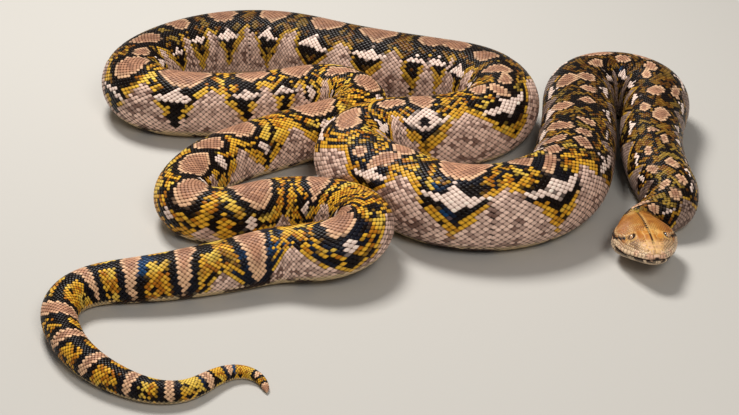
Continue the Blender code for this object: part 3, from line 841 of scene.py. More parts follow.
# ---- meshes ------------------------------------------------------------------------------------
def make_mesh(name, points, triangles, colours, uv, material):
    """A mesh from arrays, with a colour for each point and a bake map for each corner."""
    mesh = bpy.data.meshes.new(name)
    mesh.vertices.add(len(points))
    mesh.vertices.foreach_set("co", points.astype(np.float32).ravel())
    mesh.loops.add(triangles.size)
    mesh.loops.foreach_set("vertex_index", triangles.astype(np.int32).ravel())
    mesh.polygons.add(len(triangles))
    mesh.polygons.foreach_set("loop_start", np.arange(0, triangles.size, 3, dtype=np.int32))
    mesh.update(calc_edges=True)
    shade = mesh.color_attributes.new("Col", "FLOAT_COLOR", "POINT")
    rgba = np.ones((len(points), 4), np.float32)
    rgba[:, :3] = np.clip(colours, 0, 1)
    shade.data.foreach_set("color", rgba.ravel())
    layer = mesh.uv_layers.new(name="OFBake")
    layer.data.foreach_set("uv", uv.astype(np.float32).ravel())
    mesh.materials.append(material)
    mesh.shade_smooth()
    thing = bpy.data.objects.new(name, mesh)
    bpy.context.scene.collection.objects.link(thing)
    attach(thing, "root")
    return thing


def repeated(faces, count, each):
    """Faces of one small solid, repeated for count solids of each points."""
    return (faces[None] + (np.arange(count) * each)[:, None, None]).reshape(-1, 3)


def tube_faces(rows, columns):
    """Outward triangles of an open tube of rings."""
    i, j = np.meshgrid(np.arange(rows - 1), np.arange(columns), indexing="ij")
    k = (j + 1) % columns
    a, b = i * columns + j, i * columns + k
    c, d = (i + 1) * columns + k, (i + 1) * columns + j
    return np.concatenate([np.stack([c, b, a], 2).reshape(-1, 3),
                           np.stack([d, c, a], 2).reshape(-1, 3)])


def closed_tube(points, rows, columns, colours):
    """A tube of rings closed at both ends by a middle point: points, triangles, colours."""
    ends = [points[:columns].mean(0), points[-columns:].mean(0)]
    base = len(points)
    j = np.arange(columns)
    k = (j + 1) % columns
    last = (rows - 1) * columns
    triangles = np.concatenate([
        tube_faces(rows, columns), np.stack([j, k, np.full(columns, base)], 1),
        np.stack([last + k, last + j, np.full(columns, base + 1)], 1)])
    return (np.concatenate([points, ends]), triangles,
            np.concatenate([colours, colours[:1], colours[-1:]]))


def round_corners(turn, triangles):
    """Turns from 0 to 1 at each corner, so that no triangle runs back over the seam."""
    corner = turn[triangles]
    over = (corner.max(1) - corner.min(1)) > 0.5
    return np.where(over[:, None] & (corner < 0.5), corner + 1.0, corner)


def scale_template():
    """One scale: along and across from -1 to 1, part of the dome, and its triangles.

    Point 0 is the middle, then come the shoulder and the rim, and the last is the underside.
    """
    angle = 2 * math.pi * np.arange(OUTLINE) / OUTLINE
    along, across = (np.sign(way) * np.abs(way) ** SQUARENESS
                     for way in (np.cos(angle), np.sin(angle)))
    a, b = (np.concatenate([[0.0], way * SHOULDER, way, [0.0]]) for way in (along, across))
    part = np.repeat([MIDDLE, SHOULDER, RIM_PART, UNDER], [1, OUTLINE, OUTLINE, 1])
    faces = []
    for i in range(OUTLINE):
        inner, inner_next = 1 + i, 1 + (i + 1) % OUTLINE
        rim, rim_next = inner + OUTLINE, inner_next + OUTLINE
        faces += [(0, inner_next, inner), (inner, inner_next, rim_next),
                  (inner, rim_next, rim), (rim, rim_next, 1 + 2 * OUTLINE)]
    return a, b, part, np.array(faces)


def along_at_pace(low, high, pace):
    """Distances from low to high in metres, with the running count of lengths of pace(mm)."""
    table = np.linspace(low, high, 6000)
    count = adding_up(np.diff(table) * 1000 / pace((table[1:] + table[:-1]) * 500))
    return table, count


def scale_places():
    """Where every scale sits: distance m, angle degrees, half length m, half width degrees, unit."""
    table, count = along_at_pace(0, SCALES_TO, lambda mm: interp(mm, SCALE_LENGTHS))
    places = []
    for low, high in zip(ZONES[:-1], ZONES[1:]):
        radius = float(body_girth(np.array([(low + high) / 2000]))[0]) * 1000
        angles = np.linspace(0.0, DORSAL_SPAN, 400)
        pitch = float(interp(radius, ROW_WIDTHS)) * (1 + (LOW_ROWS - 1) * smooth(angles, *WIDENING))
        run = adding_up(math.radians(angles[1]) * radius / ((pitch[1:] + pitch[:-1]) / 2))
        rows = max(3, round(run[-1] - 0.5))
        run *= (rows + 0.5) / run[-1]
        first, last = np.interp([low / 1000, high / 1000], table, count)
        for k in range(-rows, rows + 1):
            shift = 0.5 * (k % 2)
            marks = np.arange(math.ceil(first - shift), math.ceil(last - shift)) + shift
            s = np.interp(marks, count, table)
            half = interp(s * 1000, SCALE_LENGTHS) / 2000
            lower, at, upper = np.interp([abs(k) - 0.5, abs(k), abs(k) + 0.5], run, angles)
            wide = (upper - lower) * (2.0 if k == 0 else 1.0)
            unit = math.radians(wide) * radius / DOME_HALF
            same = np.tile([math.copysign(at, k), wide, unit], (len(s), 1))
            places.append(np.column_stack([s, same[:, 0], half, same[:, 1:]]))
    return np.concatenate(places)


def coat_piece(name, places, material, span):
    """One joined piece of coat."""
    rng = np.random.default_rng(7)
    a, b, part, faces = scale_template()
    s, phi, half, wide, unit = places.T
    n = len(places)
    s_all = s[:, None] + a * half[:, None] * OVERLAP_ALONG
    phi_all = phi[:, None] + b * wide[:, None] * OVERLAP_ACROSS
    rise, slope, share = np.array([DOME[p] for p in part]).T
    height = (rise + slope * a) * (unit[:, None] / 1000)
    sink = COAT_SINK * np.clip(body_girth(s_all) / 0.030, 0.0, 1.0)
    points = BODY_SURFACE.at(s_all, phi_all, height - sink + folds(s_all, phi_all))
    points[..., 2] = np.maximum(points[..., 2], COAT_FLOOR)
    colour, edge = markings(s * 1000, phi)
    colour = np.clip(colour * (1.0 + rng.normal(0, TONE_SPREAD, n))[:, None], 0, 1)
    ringed = smooth(colour.mean(1), 0.06, 0.16) * smooth(edge.mean(1), 0.02, 0.01)
    share = share + ringed[:, None] * np.where(part == SHOULDER, RINGED, 0.0)
    share = share[:, :, None]
    # each scale darkens toward its rim, partly its own dark edge and partly painted shade, and gets a
    # painted highlight in its middle
    rgb = colour[:, None, :] * (1 - share) + edge[:, None, :] * share
    triangles = repeated(faces, n, len(a))
    root_u = 0.01 + 0.98 * (s * 1000 - span[0]) / (span[1] - span[0])
    root_v = 0.5 + phi / 360 * 0.98
    uv = np.stack([root_u[:, None] + a * PATCH, root_v[:, None] + b * PATCH], axis=2)
    return make_mesh(name, points.reshape(-1, 3), triangles, rgb.reshape(-1, 3),
                     uv.reshape(-1, 2)[triangles.ravel()], material)


def plate_faces(rows, columns):
    """Triangles of one closed plate: an outer grid, then an inner grid of the same size."""
    grid = np.arange(rows * columns).reshape(rows, columns)
    deep = grid + rows * columns
    quads = []
    for i in range(rows - 1):
        for j in range(columns - 1):
            quads.append((grid[i, j], grid[i + 1, j], grid[i + 1, j + 1], grid[i, j + 1]))
            quads.append((deep[i, j], deep[i, j + 1], deep[i + 1, j + 1], deep[i + 1, j]))
        quads.append((grid[i, 0], deep[i, 0], deep[i + 1, 0], grid[i + 1, 0]))
        quads.append((grid[i, -1], grid[i + 1, -1], deep[i + 1, -1], deep[i, -1]))
    for j in range(columns - 1):
        quads.append((grid[0, j], grid[0, j + 1], deep[0, j + 1], deep[0, j]))
        quads.append((grid[-1, j], deep[-1, j], deep[-1, j + 1], grid[-1, j + 1]))
    quads = np.array(quads)
    return np.concatenate([quads[:, [0, 1, 2]], quads[:, [0, 2, 3]]])


def build_belly(material):
    """Broad belly scales, each a thin closed plate, from the tail to the throat."""
    table, count = along_at_pace(*BELLY_REACH,
                                 lambda mm: interp(mm, SCALE_LENGTHS) * BELLY_LENGTH)
    starts = np.interp(np.arange(int(count[-1])), count, table)
    length = np.diff(starts)
    n = len(length)
    place, depth, share = np.array(BELLY_PROFILE).T
    s = starts[:-1, None, None] + length[:, None, None] * place[None, :, None]
    s = np.broadcast_to(s, (n, len(place), BELLY_ACROSS))
    phi = np.broadcast_to(np.linspace(BELLY_EDGE, 360.0 - BELLY_EDGE, BELLY_ACROSS), s.shape)
    thin = np.clip(body_girth(s) / 0.020, 0.15, 1.0)
    layers = []
    for down, lowest in ((depth[None, :, None], COAT_FLOOR), (BELLY_INSIDE, BELLY_FLOOR)):
        layer = BODY_SURFACE.at(s, phi, down * thin / 1000 + folds(s, phi))
        layer[..., 2] = np.maximum(layer[..., 2], lowest)
        layers.append(layer.reshape(n, -1, 3))
    triangles = repeated(plate_faces(len(place), BELLY_ACROSS), n, 2 * len(place) * BELLY_ACROSS)
    colour, edge = markings(s.ravel() * 1000, phi.ravel())
    rgb = paint(colour, edge, np.broadcast_to(share[None, :, None], s.shape).ravel())
    u = 0.01 + 0.98 * s / BODY
    v = 0.02 + 0.96 * (phi - BELLY_EDGE) / (360.0 - 2 * BELLY_EDGE)
    uv = np.stack([u, v], -1)
    points, rgb, uv = (np.concatenate(pair, 1).reshape(-1, pair[0].shape[-1]) for pair in (
        layers, [rgb.reshape(n, -1, 3)] * 2, [uv.reshape(n, -1, 2)] * 2))
    return make_mesh("coat_belly", points, triangles, rgb, uv[triangles.ravel()], material)


def build_skin(material):
    """One continuous skin from tail tip to snout."""
    angle = 360.0 * np.arange(SKIN_AROUND) / SKIN_AROUND
    s = np.concatenate([[0.0, 0.0004, 0.001, 0.002, 0.004],
                        np.arange(0.008, BODY - HEAD_BACK + 0.004, SKIN_ALONG)])
    u, phi = np.meshgrid(s, angle, indexing="ij")
    depth = SKIN_DEPTH * np.clip(body_girth(u) / 0.006, 0.0, 1.0) * smooth(u, -0.004, 0.006)
    body = BODY_SURFACE.at(u, phi, folds(u, phi) - depth)
    end = HEAD_SURFACE.start + HEAD_STEP * (len(HEAD_SURFACE.points) - 1)
    v = np.arange(HEAD_SURFACE.start + SKIN_HEAD_FROM, end, SKIN_HEAD_ALONG)
    head_u, head_phi = np.meshgrid(v, angle, indexing="ij")
    sunk = (HEAD_SKIN_DEPTH - SKIN_DEPTH) * smooth(head_u, BODY + 0.002, BODY + 0.012)
    head = HEAD_SURFACE.at(head_u, head_phi, -SKIN_DEPTH - sunk)
    points = np.concatenate([body, head])
    rows = len(points)
    points[..., 2] = np.maximum(points[..., 2], SKIN_FLOOR)
    whole = np.concatenate([u, head_u]).ravel()
    where_s = whole * 1000
    where_phi = np.concatenate([phi, head_phi]).ravel()
    colour, edge = markings(np.minimum(where_s, MARKED_TO), where_phi)
    rgb = paint(edge * 0.30 + linear(UMBER) * 0.10, colour, smooth(where_s, 6.0, 3.0))
    points, triangles, rgb = closed_tube(points.reshape(-1, 3), rows, SKIN_AROUND, rgb)
    # the bake map lays the skin out in strips, four to a row
    run = np.concatenate([whole / SKIN_RUN * STRIPS, [0.0, STRIPS - 0.001]])[triangles]
    turn = round_corners(np.concatenate([where_phi / 360.0, [0.5, 0.5]]), triangles)
    lane = np.floor(run.mean(1))[:, None]
    uv_u = (run - lane) * 0.94 / 4 + (lane % 4) / 4 + 0.0075
    uv_v = turn * 0.94 / 3.2 + np.floor(lane / 4) / 3 + 0.0075
    uv = np.clip(np.stack([uv_u, uv_v], axis=2), 0, 1).reshape(-1, 2)
    return make_mesh("snake_skin", points, triangles, rgb, uv, material)


# ---- materials ---------------------------------------------------------------------------------
def surface_material(name, roughness, bump, size, specular=0.5, vary=0.12):
    """Colour from the markings, with fine grain in its tone, gloss and relief."""
    material = bpy.data.materials.new(name)
    material.use_nodes = True
    tree = material.node_tree
    shader = tree.nodes["Principled BSDF"]
    shader.inputs["Specular IOR Level"].default_value = specular

    def add(kind, **settings):
        node = tree.nodes.new("ShaderNode" + kind)
        for key, value in settings.items():
            node.inputs[key.replace("_", " ")].default_value = value
        return node

    colour = add("Attribute")
    colour.attribute_name = "Col"
    place = add("TexCoord")
    grain = add("TexNoise", Scale=size, Detail=3.0)
    tone = add("MapRange", From_Min=0.3, From_Max=0.7, To_Min=1.0 - vary, To_Max=1.0 + vary)
    gloss = add("MapRange", To_Min=roughness - 0.08, To_Max=roughness + 0.12)
    relief = add("Bump", Strength=bump, Distance=0.0002)
    mix = add("Mix")
    mix.data_type = "RGBA"
    mix.blend_type = "MULTIPLY"
    mix.inputs["Factor"].default_value = 1.0
    for source, output, target, socket in (
            (place, "Object", grain, "Vector"), (grain, "Fac", tone, "Value"),
            (colour, "Color", mix, "A"), (tone, "Result", mix, "B"),
            (mix, "Result", shader, "Base Color"), (grain, "Fac", gloss, "Value"),
            (gloss, "Result", shader, "Roughness"), (grain, "Fac", relief, "Height"),
            (relief, "Normal", shader, "Normal")):
        tree.links.new(source.outputs[output], target.inputs[socket])
    return material


# ---- the head ----------------------------------------------------------------------------------
SMALL, PLATE, UPPER_LIP, LOWER_LIP = 0, 1, 2, 3
# Plates of the snout and brow: (plate, forward mm, aside mm, height mm or None, reach mm).
PLATES = (
    ("rostral", 80.6, 0.0, 4.0, 3.0), ("internasal", 77.4, 2.2, None, 2.4),
    ("nasal_front", 76.6, 5.4, None, 2.2), ("nasal_rear", 73.2, 7.6, None, 2.2),
    ("front_prefrontal", 72.0, 3.4, None, 3.6), ("rear_prefrontal", 65.6, 2.9, None, 3.1),
    ("side_prefrontal", 66.2, 8.0, None, 2.8), ("frontal", 60.4, 1.6, None, 3.6),
    ("frontal", 55.4, 1.5, None, 3.4), ("brow", 55.2, 9.0, None, 2.9), ("brow", 51.0, 9.8, None, 2.9),
    ("brow", 47.2, 9.4, None, 2.4), ("behind_frontal", 49.6, 3.0, None, 2.6),
    ("crown", 45.4, 1.6, None, 1.9),
)
LIP_FRONT = 4.3            # mm from one lip plate to the next at the front
LIP_REAR = 5.2
HEAD_GRAIN = (             # (forward mm, spacing of the small head scales in mm)
    (-5, 1.9), (20, 2.0), (40, 2.1), (55, 2.4), (80, 2.4),
)
ORANGE = (194, 128, 50)
HEAD_TAN = (182, 116, 58)
HEAD_PALE = (226, 184, 108)
LIP = (238, 208, 172)
LIP_PINK = (222, 166, 136)
# painted shade for the mouth line, pits, nostrils, eye sockets and the notch for the tongue; the
# black also colours the stripe behind the eye
HOLLOW_SHADE = (34, 16, 10)
STRIPE_BLACK_AND_SOCKET_SHADE = (25, 10, 6)
NOTCH_SHADE = (22, 9, 5)
CHIN = (222, 196, 164)
EYE_DARK = (30, 14, 8)
STRIPE_HEIGHT = (          # (forward mm, height in mm of the stripe behind the eye)
    (6, 11.0), (14, 12.9), (22, 13.0), (30, 11.6), (36, 10.8), (43, 12.2), (50, 13.9),
)
NOSTRIL = (75.0, 6.3, 8.6)       # forward, aside and height in mm
UPPER_PITS = (77.6, 74.6, 70.8, 66.8)          # forward mm of the heat pits in each lip
LOWER_PITS = (44.0, 39.5, 35.0, 30.5, 26.0)
PIT_OVER = 2.6             # mm of the pits above and below the mouth
PIT_DEPTH = {"upper": 0.75, "lower": 0.6}
EYE_RING = 9               # scales round each eye
EYE_CLEAR = 0.12           # mm of clear scale over the eye
EYE_LOOK = (0.42, 0.78, 0.46)    # forward, aside and up
SLIT_HEIGHT = 0.66         # share of the eye's height
HEAD_COAT_DEPTH = 0.45     # mm that the plates lie inside the CAD outline
HEAD_COAT_FLOOR = 0.0004   # m


def mouth_height(forward):
    """Height of the lips, smoothed, in the head's mm."""
    offsets = np.linspace(-4, 4, 9)
    return np.mean([interp(forward + o, MOUTH_LINE) for o in offsets], axis=0)


def from_spot(spot, f, a, h):
    """Distance in mm from a spot that is on both sides of the head: (forward, aside, height)."""
    return np.sqrt((f - spot[0]) ** 2 + (np.abs(a) - spot[1]) ** 2 + (h - spot[2]) ** 2)


def pits(f, wide, over, upper, lower):
    """A soft spot for each heat pit, its reach along and up given for each lip: (lip, mask)."""
    for at in UPPER_PITS:
        yield "upper", bell((f - at) / upper[0], (over - PIT_OVER) / upper[1]) * smooth(wide, 2, 3)
    for at in LOWER_PITS:
        yield "lower", bell((f - at) / lower[0], (over + PIT_OVER) / lower[1]) * smooth(wide, 8, 10)


def sculpt(f, a, h):
    """How far the head stands out from its plain rings, in mm."""
    wide = np.abs(a)
    eye = from_spot(EYE, f, a, h)
    nose = from_spot(NOSTRIL, f, a, h)
    top = smooth(h, 11, 14)
    over = h - mouth_height(f)
    along = smooth(f, 11.5, 16)
    out = 0.55 * bell((eye - 4.1) / 0.8) - 2.0 * smooth(eye, 3.45, 2.9)
    # brow, hollow of the face, groove down the crown, jaw muscle
    out += 1.0 * top * bell((f - 51) / 6.5, (wide - 11.6) / 2.2)
    out -= 0.8 * bell((f - 64.5) / 5, (h - 8.2) / 2.6) * smooth(wide, 9, 12)
    out -= 0.6 * top * bell(a / 2.0) * smooth(f, 47, 36) * smooth(f, -4, 6)
    out += 0.7 * top * bell((f - 27) / 12, (wide - 13) / 6)
    # mouth line, upper lip, tucked lower lip
    out -= 1.25 * along * bell(over / 0.50)
    out += 0.40 * along * bell((over - 2.2) / 1.6)
    out -= 0.55 * along * smooth(over, 0.2, -0.6) * smooth(over, -7, -3)
    # nostrils and the notch for the tongue
    out += 0.25 * bell((nose - 2.0) / 0.8) - 1.3 * bell(nose / 0.85)
    out -= 0.9 * bell(a / 1.1) * smooth(f, 76, 79) * bell((over - 0.6) / 1.3)
    for lip, mask in pits(f, wide, over, (0.75, 0.9), (0.8, 0.8)):
        out -= PIT_DEPTH[lip] * mask
    return out


def on_head(local, f, a=None, h=None):
    """The point of the head's surface nearest to the given forward, aside and height."""
    cost = (local[:, 0] - f) ** 2
    if a is not None:
        cost += (local[:, 1] - a) ** 2
    if h is None:
        cost += np.where(local[:, 2] < 6, 400.0, 0.0)
    else:
        cost += (local[:, 2] - h) ** 2
    return local[np.argmin(cost)]


def lip_row(local, side, over, first):
    """Evenly spaced places along a lip, from the snout back."""
    own = local[local[:, 1] * side > 0.2]
    walk = np.array([on_head(own, f, a=side * 40 if f < 74 else None, h=mouth_height(f) + over)
                     for f in np.arange(79.6, 13.0, -0.4)])
    run = adding_up(np.linalg.norm(np.diff(walk, axis=0), axis=1))
    places = []
    at = first
    while at < run[-1]:
        places.append([np.interp(at, run, walk[:, k]) for k in range(3)])
        at += LIP_FRONT + (LIP_REAR - LIP_FRONT) * at / run[-1]
    return places


def small_seeds(rings, big, number):
    """Centres of the small scales, in rows round the head, clear of the plates."""
    small = []
    columns = rings.shape[1]
    ring_at = 0
    odd = False
    while ring_at < len(rings) - 6:
        ring = rings[ring_at]
        gap = float(interp(ring[:, 0].mean(), HEAD_GRAIN))
        run = adding_up(np.linalg.norm(np.roll(ring, -1, 0) - ring, axis=1))
        count = max(4, int(round(run[-1] / gap)))
        marks = (np.arange(count) + (0.5 if odd else 0.0)) / count * run[-1]
        for w in np.interp(marks, run, np.arange(columns + 1)) % columns:
            place = ring[int(w) % columns]
            clear = np.linalg.norm(big[:, :3] - place, axis=1) - big[:, 3]
            if clear.min() > gap * 0.42:
                small.append((*place, 0.8, number, SMALL))
                number += 1
        odd = not odd
        ring_at += max(2, int(round(gap * 0.87 / (HEAD_STEP * 1000))))
    return small


def head_seeds(local, rings):
    """Centres of the head's plates and scales: forward, aside, height, reach, number, kind."""
    seeds = []
    names = {}
    for name, f, a, h, reach in PLATES:
        for side in ((1,) if a == 0 else (1, -1)):
            place = on_head(local, f, a=a * side, h=h)
            own = name if name in ("rostral", "frontal") else name + str(side)
            number = names.setdefault(own, len(names))
            seeds.append((*place, reach, number, UPPER_LIP if name == "rostral" else PLATE))
    number = len(names)
    for side in (1, -1):
        for over, first, kind, reach in ((2.7, 3.6, UPPER_LIP, 2.2), (-2.4, 2.4, LOWER_LIP, 1.9)):
            for place in lip_row(local, side, over, first):
                seeds.append((*place, reach, number, kind))
                number += 1
        for angle in 2 * math.pi * (np.arange(EYE_RING) + 0.5) / EYE_RING:
            place = on_head(local, EYE[0] + 4.9 * math.cos(angle),
                            a=side * (EYE[1] + 1.6 - 2.6 * math.sin(angle)),
                            h=EYE[2] + 1.4 + 4.0 * math.sin(angle))
            close = min(np.linalg.norm(place - np.array(s[:3])) - s[3] * 0.6 for s in seeds)
            if close > 1.2:
                seeds.append((*place, 1.7, number, PLATE))
                number += 1
    return np.array(seeds + small_seeds(rings, np.array([s[:4] for s in seeds]), number))


def head_colours(f, a, h):
    """Colour of the head at its own mm."""
    wide = np.abs(a)
    over = h - mouth_height(f)
    level = interp(f, STRIPE_HEIGHT)
    stretch = smooth(wide, 10, 12) * smooth(f, 5, 8) * smooth(f, 50, 47)
    face = np.maximum(smooth(over, 15.0, 11.0) * smooth(wide, 7.5, 10.5) * smooth(f, 49, 55),
                      smooth(f, 58, 68) * 0.75)
    fleck = smooth(noise(f / 2.2, (a + 40) / 2.2, 75), 0.50, 0.70)
    cheek = smooth(level - 1.2 - h, -0.5, 0.8)
    lip = smooth(over, -0.3, 0.2) * cheek * smooth(f, 9, 13) * smooth(over, 9.0, 5.0)
    front = smooth(over, -0.3, 0.2) * smooth(over, 6.2, 4.4) * smooth(f, 66, 72)
    lip = np.clip(np.maximum(lip * smooth(wide, 2, 4), front), 0, 1)
    lore = bell((f - 56.5) / 1.9, (h - 12.8) / 1.2) * smooth(wide, 9, 11)
    stripe = np.exp(-((h - level) / 1.35) ** 4) * stretch
    chin = smooth(over, 0.1, -0.5)
    spots = smooth(noise(f / 4.2, (a + 60) / 4.2, 72), 0.40, 0.50) * smooth(over, -7.5, -1.6)
    crown = smooth(h, 5, 8)
    bar = np.exp(-(a / 0.95) ** 4) * crown * smooth(f, -8, -4) * smooth(f, 70, 65)
    beside = bell((a - 1.9) / 0.8) * crown * smooth(f, 6, 14) * smooth(f, 70, 64)
    return layered(plain(ORANGE, len(f)), (
        (HEAD_TAN, smooth(wide, 9, 19) * smooth(f, 62, 40) * 0.8),
        ((150, 84, 30), smooth(noise(f / 5.0, a / 5.0, 71), 0.5, 0.85) * 0.55),
        (HEAD_PALE, smooth(noise(f / 7.0, a / 7.0, 73), 0.6, 0.9) * 0.5),
        ((214, 158, 96), smooth(f, 66, 77) * 0.5),
        ((176, 116, 66), smooth(h, 16, 11) * smooth(wide, 8, 12) * 0.6),
        # the pale face with its flecks, and the pale line over the black stripe
        ((220, 182, 138), face * 0.85), ((122, 84, 56), face * fleck * 0.65),
        ((226, 190, 140), bell((h - level - 2.6) / 0.8) * stretch * 0.7),
        # lips, the dark spot before the eye, and the stripe from the eye to the mouth's corner
        (LIP, lip * 0.95),
        (LIP_PINK, lip * smooth(noise(f / 3.0, h / 3.0, 74), 0.45, 0.8) * 0.7),
        ((84, 40, 18), lore * 0.7), (STRIPE_BLACK_AND_SOCKET_SHADE, np.clip(stripe * 1.2, 0, 1)),
        (CHIN, chin), ((34, 18, 12), spots * chin * 0.95),
        # the line down the middle of the crown
        (HEAD_PALE, beside * 0.55), ((40, 18, 10), bar)))


def head_plates(local, seeds):
    """The plate or scale each point belongs to, and how far it is from the plate's border."""
    near = np.zeros(len(local), int)
    border = np.zeros(len(local))
    place = seeds[:, :3]
    number = seeds[:, 4].astype(int)
    for low in range(0, len(local), 4000):
        part = local[low:low + 4000]
        every = np.arange(len(part))
        square = ((part[:, None, :] - place[None, :, :]) ** 2).sum(2) - seeds[None, :, 3] ** 2
        best = np.argmin(square, axis=1)
        least = square[every, best]
        square[number[None, :] == number[best][:, None]] = 1e9
        second = np.argmin(square, axis=1)
        gap = np.linalg.norm(place[best] - place[second], axis=1)
        border[low:low + 4000] = (square[every, second] - least) / (2 * gap)
        near[low:low + 4000] = best
    return near, border


def head_details(colour, f, a, h, border, kind):
    """Seams between plates, the pale ring round each eye, and painted shade in the mouth line, pits,
    nostrils, notch for the tongue and eye sockets.
    """
    wide = np.abs(a)
    over = h - mouth_height(f)
    suture = bell(border / 0.36)
    colour = paint(colour, colour * 0.30, suture * np.where(kind == SMALL, 0.85, 0.0))
    pit_shade = np.zeros(len(f))
    for _, mask in pits(f, wide, over, (0.7, 0.8), (0.8, 0.8)):
        pit_shade = np.maximum(pit_shade, mask)
    pit_shade = np.maximum(pit_shade * 0.8, np.exp(-(from_spot(NOSTRIL, f, a, h) / 0.9) ** 4))
    eye = from_spot(EYE, f, a, h)
    notch = np.exp(-(wide / (1.0 + 0.9 * np.clip(3.4 - over, 0, 4))) ** 4) * smooth(f, 74, 77)
    notch *= smooth(over, 3.4, 2.2) * smooth(over, -1.4, -0.6)
    return layered(colour, (
        (HEAD_PALE, suture * np.where(kind == PLATE, 0.75, 0.0)),
        ((92, 50, 34), suture * np.where(kind >= UPPER_LIP, 0.85, 0.0)),
        ((26, 14, 10), suture * np.where((kind == LOWER_LIP) & (over < -0.3), 0.9, 0.0)),
        # painted shade in the mouth line, the pits and the nostrils
        (HOLLOW_SHADE, np.exp(-(over / 0.62) ** 4) * smooth(f, 11.5, 15) * 0.95),
        (HOLLOW_SHADE, pit_shade * 0.95),
        (HEAD_PALE, bell((eye - 5.0) / 0.5) * 0.45),
        # painted shade in the socket round the eye and in the notch for the tongue
        ((64, 32, 18), bell((eye - 3.8) / 0.45) * 0.85),
        (STRIPE_BLACK_AND_SOCKET_SHADE, smooth(eye, 3.6, 3.35)), (NOTCH_SHADE, notch)))


def build_head_coat(material):
    """Plates and small scales of the head, with brow, lips, pits and nostrils."""
    first = HEAD_JOINT - 8
    grid = HEAD_SURFACE.points[first:-1]
    rows, columns = grid.shape[:2]
    f, a, h = head_local(grid.reshape(-1, 3))
    local = np.stack([f, a, h], axis=1)
    seeds = head_seeds(local[::3], local.reshape(grid.shape))
    near, border = head_plates(local, seeds)
    kind = seeds[near, 5]
    small = kind == SMALL
    groove = -np.where(small, 0.30, 0.26) * bell(border / np.where(small, 0.30, 0.28))
    dome = np.where(small, 0.22, 0.26) * (1 - np.exp(-border / 0.7))
    away = 1 - smooth(from_spot(EYE, f, a, h), 4.3, 3.6)
    out = sculpt(f, a, h) + (groove + dome) * away - HEAD_COAT_DEPTH
    points = grid.reshape(-1, 3) + HEAD_SURFACE.normals[first:-1].reshape(-1, 3) * out[:, None] / 1000
    points[:, 2] = np.maximum(points[:, 2], HEAD_COAT_FLOOR)
    colour = head_colours(*np.where(small[:, None], seeds[near, :3], local).T)
    phi = -np.degrees(np.arctan2(a, h - 8.0))
    body, _ = markings(np.minimum(BODY * 1000 + np.clip(f, -20, 12), MARKED_TO), phi)
    colour = paint(colour, body, smooth(f, 4.5, 1.0))
    tone = 1 + (hash01(near, near * 0 + 3, 5) - 0.5) * np.where(small, 0.22, 0.08)
    colour = head_details(colour * tone[:, None], f, a, h, border, kind)
    points, triangles, colour = closed_tube(points, rows, columns, colour)
    u = np.concatenate([np.repeat(np.arange(rows), columns) / rows, [0.0, 1.0]])[triangles]
    v = np.concatenate([np.tile(np.arange(columns), rows) / columns, [0.5, 0.5]])
    uv = np.stack([u, round_corners(v, triangles)], axis=2).reshape(-1, 2) * 0.97 + 0.01
    return make_mesh("head_coat", points, triangles, colour, uv, material)


def eye_colours(x, y, front):
    """Orange-brown iris with a slit pupil, at x and y from -1 to 1 across the eye."""
    out = np.hypot(x, y)
    streak = noise(np.arctan2(y, x) * 9 + 40, out * 2.0, 81)
    slit = np.abs(x) / (0.20 * np.sqrt(np.clip(1 - (y / SLIT_HEIGHT) ** 2, 0, 1)) + 1e-6)
    iris = layered(plain((214, 168, 122), len(x)), (
        ((176, 112, 62), smooth(streak, 0.4, 0.8) * 0.7),
        ((232, 190, 140), smooth(out, 0.40, 0.28) * 0.5),
        (EYE_DARK, smooth(out, 0.74, 0.88)),
        ((8, 5, 4), smooth(slit, 1.15, 0.9) * (np.abs(y) < SLIT_HEIGHT))))
    return np.where(front[:, None], iris, linear(EYE_DARK))


def build_eye(side, material):
    """A slit-pupilled eye under its clear scale."""
    around = 64
    rings = 40
    centre, ahead, middle = (head_point(*(np.array(float(mm)) for mm in place)) for place in (
        (EYE[0], side * EYE[1], EYE[2]), (EYE_LOOK[0], side * EYE_LOOK[1], EYE_LOOK[2]),
        (0, 0, 0)))
    look = (ahead - middle) / np.linalg.norm(ahead - middle)
    up = HEAD[3] - look * (HEAD[3] @ look)
    up = up / np.linalg.norm(up)
    across = np.cross(up, look)
    polar = np.linspace(0.0, math.pi, rings)[:, None]
    turn = 2 * math.pi * np.arange(around) / around
    x = np.sin(polar) * np.cos(turn)
    y = np.sin(polar) * np.sin(turn)
    z = np.cos(polar) * (1 + 0.05 * smooth(polar, 0.9, 0.3)) * np.ones(around)
    points = centre + (EYE_RADIUS + EYE_CLEAR) / 1000 * (
        x[..., None] * across + y[..., None] * up + z[..., None] * look)
    points = points.reshape(-1, 3)
    triangles = tube_faces(rings, around)
    corners = points[triangles]
    sides = np.linalg.norm(corners - np.roll(corners, 1, axis=1), axis=2)
    triangles = triangles[sides.min(1) > 1e-9]
    front = (z > 0).ravel()
    inward = (1 - 0.5 * ~front)[:, None]
    uv = 0.5 + 0.48 * np.stack([x.ravel(), y.ravel()], 1) * inward
    name = "eye_" + ("left" if side > 0 else "right")
    ball = make_mesh(name + "_ball", points, triangles, eye_colours(x.ravel(), y.ravel(), front),
                     uv[triangles.ravel()], material)
    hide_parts(name)


def eye_material():
    material = surface_material("wet_eye", 0.12, 0.02, 3000.0, 0.6, 0.05)
    shader = material.node_tree.nodes["Principled BSDF"]
    shader.inputs["Coat Weight"].default_value = 0.8
    shader.inputs["Coat Roughness"].default_value = 0.03
    return material


def build_snake():
    scales = surface_material("glossy_scales", 0.32, 0.25, 900.0, 0.11)
    places = scale_places()
    for name, low, high, slot in COATS:
        own = places[(places[:, 0] * 1000 >= low) & (places[:, 0] * 1000 < high)]
        coat_piece(name, own, scales, (low, high))
    build_belly(scales)
    build_head_coat(surface_material("head_plates", 0.40, 0.2, 1300.0, 0.3, 0.08))
    eye = eye_material()
    for side in (1, -1):
        build_eye(side, eye)
    skin = build_skin(surface_material("skin_between_scales", 0.6, 0.4, 1400.0))
    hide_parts(*sorted(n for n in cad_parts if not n.startswith("eye")))


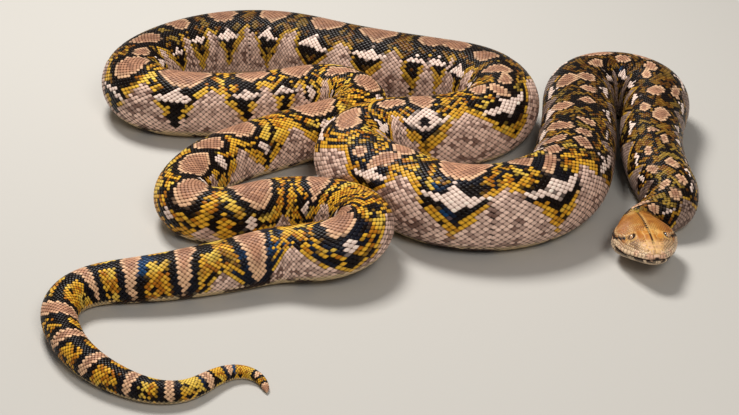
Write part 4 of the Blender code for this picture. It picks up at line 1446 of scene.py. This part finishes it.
# ---- floor, light and camera -------------------------------------------------------------------
FLOOR_HALF = 6.0           # m
FLOOR_COLOUR = (0.50, 0.485, 0.46, 1.0)
FLOOR_ROUGHNESS = 0.85
SKY_COLOUR = (1.0, 0.975, 0.94, 1.0)
SKY_STRENGTH = 0.17
SENSOR = 36.0              # mm
LOOK_DOWN = 30.0           # degrees
CAMERA_AWAY = 1.5          # m
LOOK_AT = (-0.0232, -0.0147)     # m on the ground, in the middle of the view
FOCAL = 1550.0 / 739.0     # focal length over the width of the frame
LAMPS = (                  # name, place, where it looks, size, watts, tint
    ("key", (-0.5, 0.75, 1.7), (0, 0, 0), 0.6, 43.0, (1.0, 0.97, 0.92)),
    ("front", (0.5, -1.5, 1.6), (0, -0.1, 0), 0.7, 19.0, (1.0, 0.96, 0.9)),
)


def build_floor():
    mesh = bpy.data.meshes.new("floor")
    corners = [(-1, -1), (1, -1), (1, 1), (-1, 1)]
    mesh.from_pydata([(x * FLOOR_HALF, y * FLOOR_HALF, 0) for x, y in corners], [], [(0, 1, 2, 3)])
    floor = bpy.data.objects.new("floor", mesh)
    bpy.context.scene.collection.objects.link(floor)
    material = bpy.data.materials.new("pale_floor")
    material.use_nodes = True
    shader = material.node_tree.nodes["Principled BSDF"]
    shader.inputs["Base Color"].default_value = FLOOR_COLOUR
    shader.inputs["Roughness"].default_value = FLOOR_ROUGHNESS
    mesh.materials.append(material)


def build_light():
    world = bpy.data.worlds.new("studio")
    bpy.context.scene.world = world
    world.use_nodes = True
    back = world.node_tree.nodes["Background"]
    back.inputs["Color"].default_value = SKY_COLOUR
    back.inputs["Strength"].default_value = SKY_STRENGTH
    for name, place, look, size, power, tint in LAMPS:
        data = bpy.data.lights.new(name, "AREA")
        data.size = size
        data.energy = power
        data.color = tint
        lamp = bpy.data.objects.new(name, data)
        bpy.context.scene.collection.objects.link(lamp)
        lamp.location = place
        lamp.rotation_euler = (Vector(look) - Vector(place)).to_track_quat("-Z", "Y").to_euler()


def build_camera():
    data = bpy.data.cameras.new("camera")
    data.sensor_width = SENSOR
    data.lens = data.sensor_width * FOCAL
    camera = bpy.data.objects.new("camera", data)
    bpy.context.scene.collection.objects.link(camera)
    down = math.radians(LOOK_DOWN)
    camera.location = (LOOK_AT[0], LOOK_AT[1] - CAMERA_AWAY * math.cos(down),
                       CAMERA_AWAY * math.sin(down))
    camera.rotation_euler = (math.radians(90 - LOOK_DOWN), 0, 0)
    bpy.context.scene.camera = camera
    bpy.context.scene.view_settings.view_transform = "Standard"


build_snake()
build_floor()
build_light()
build_camera()
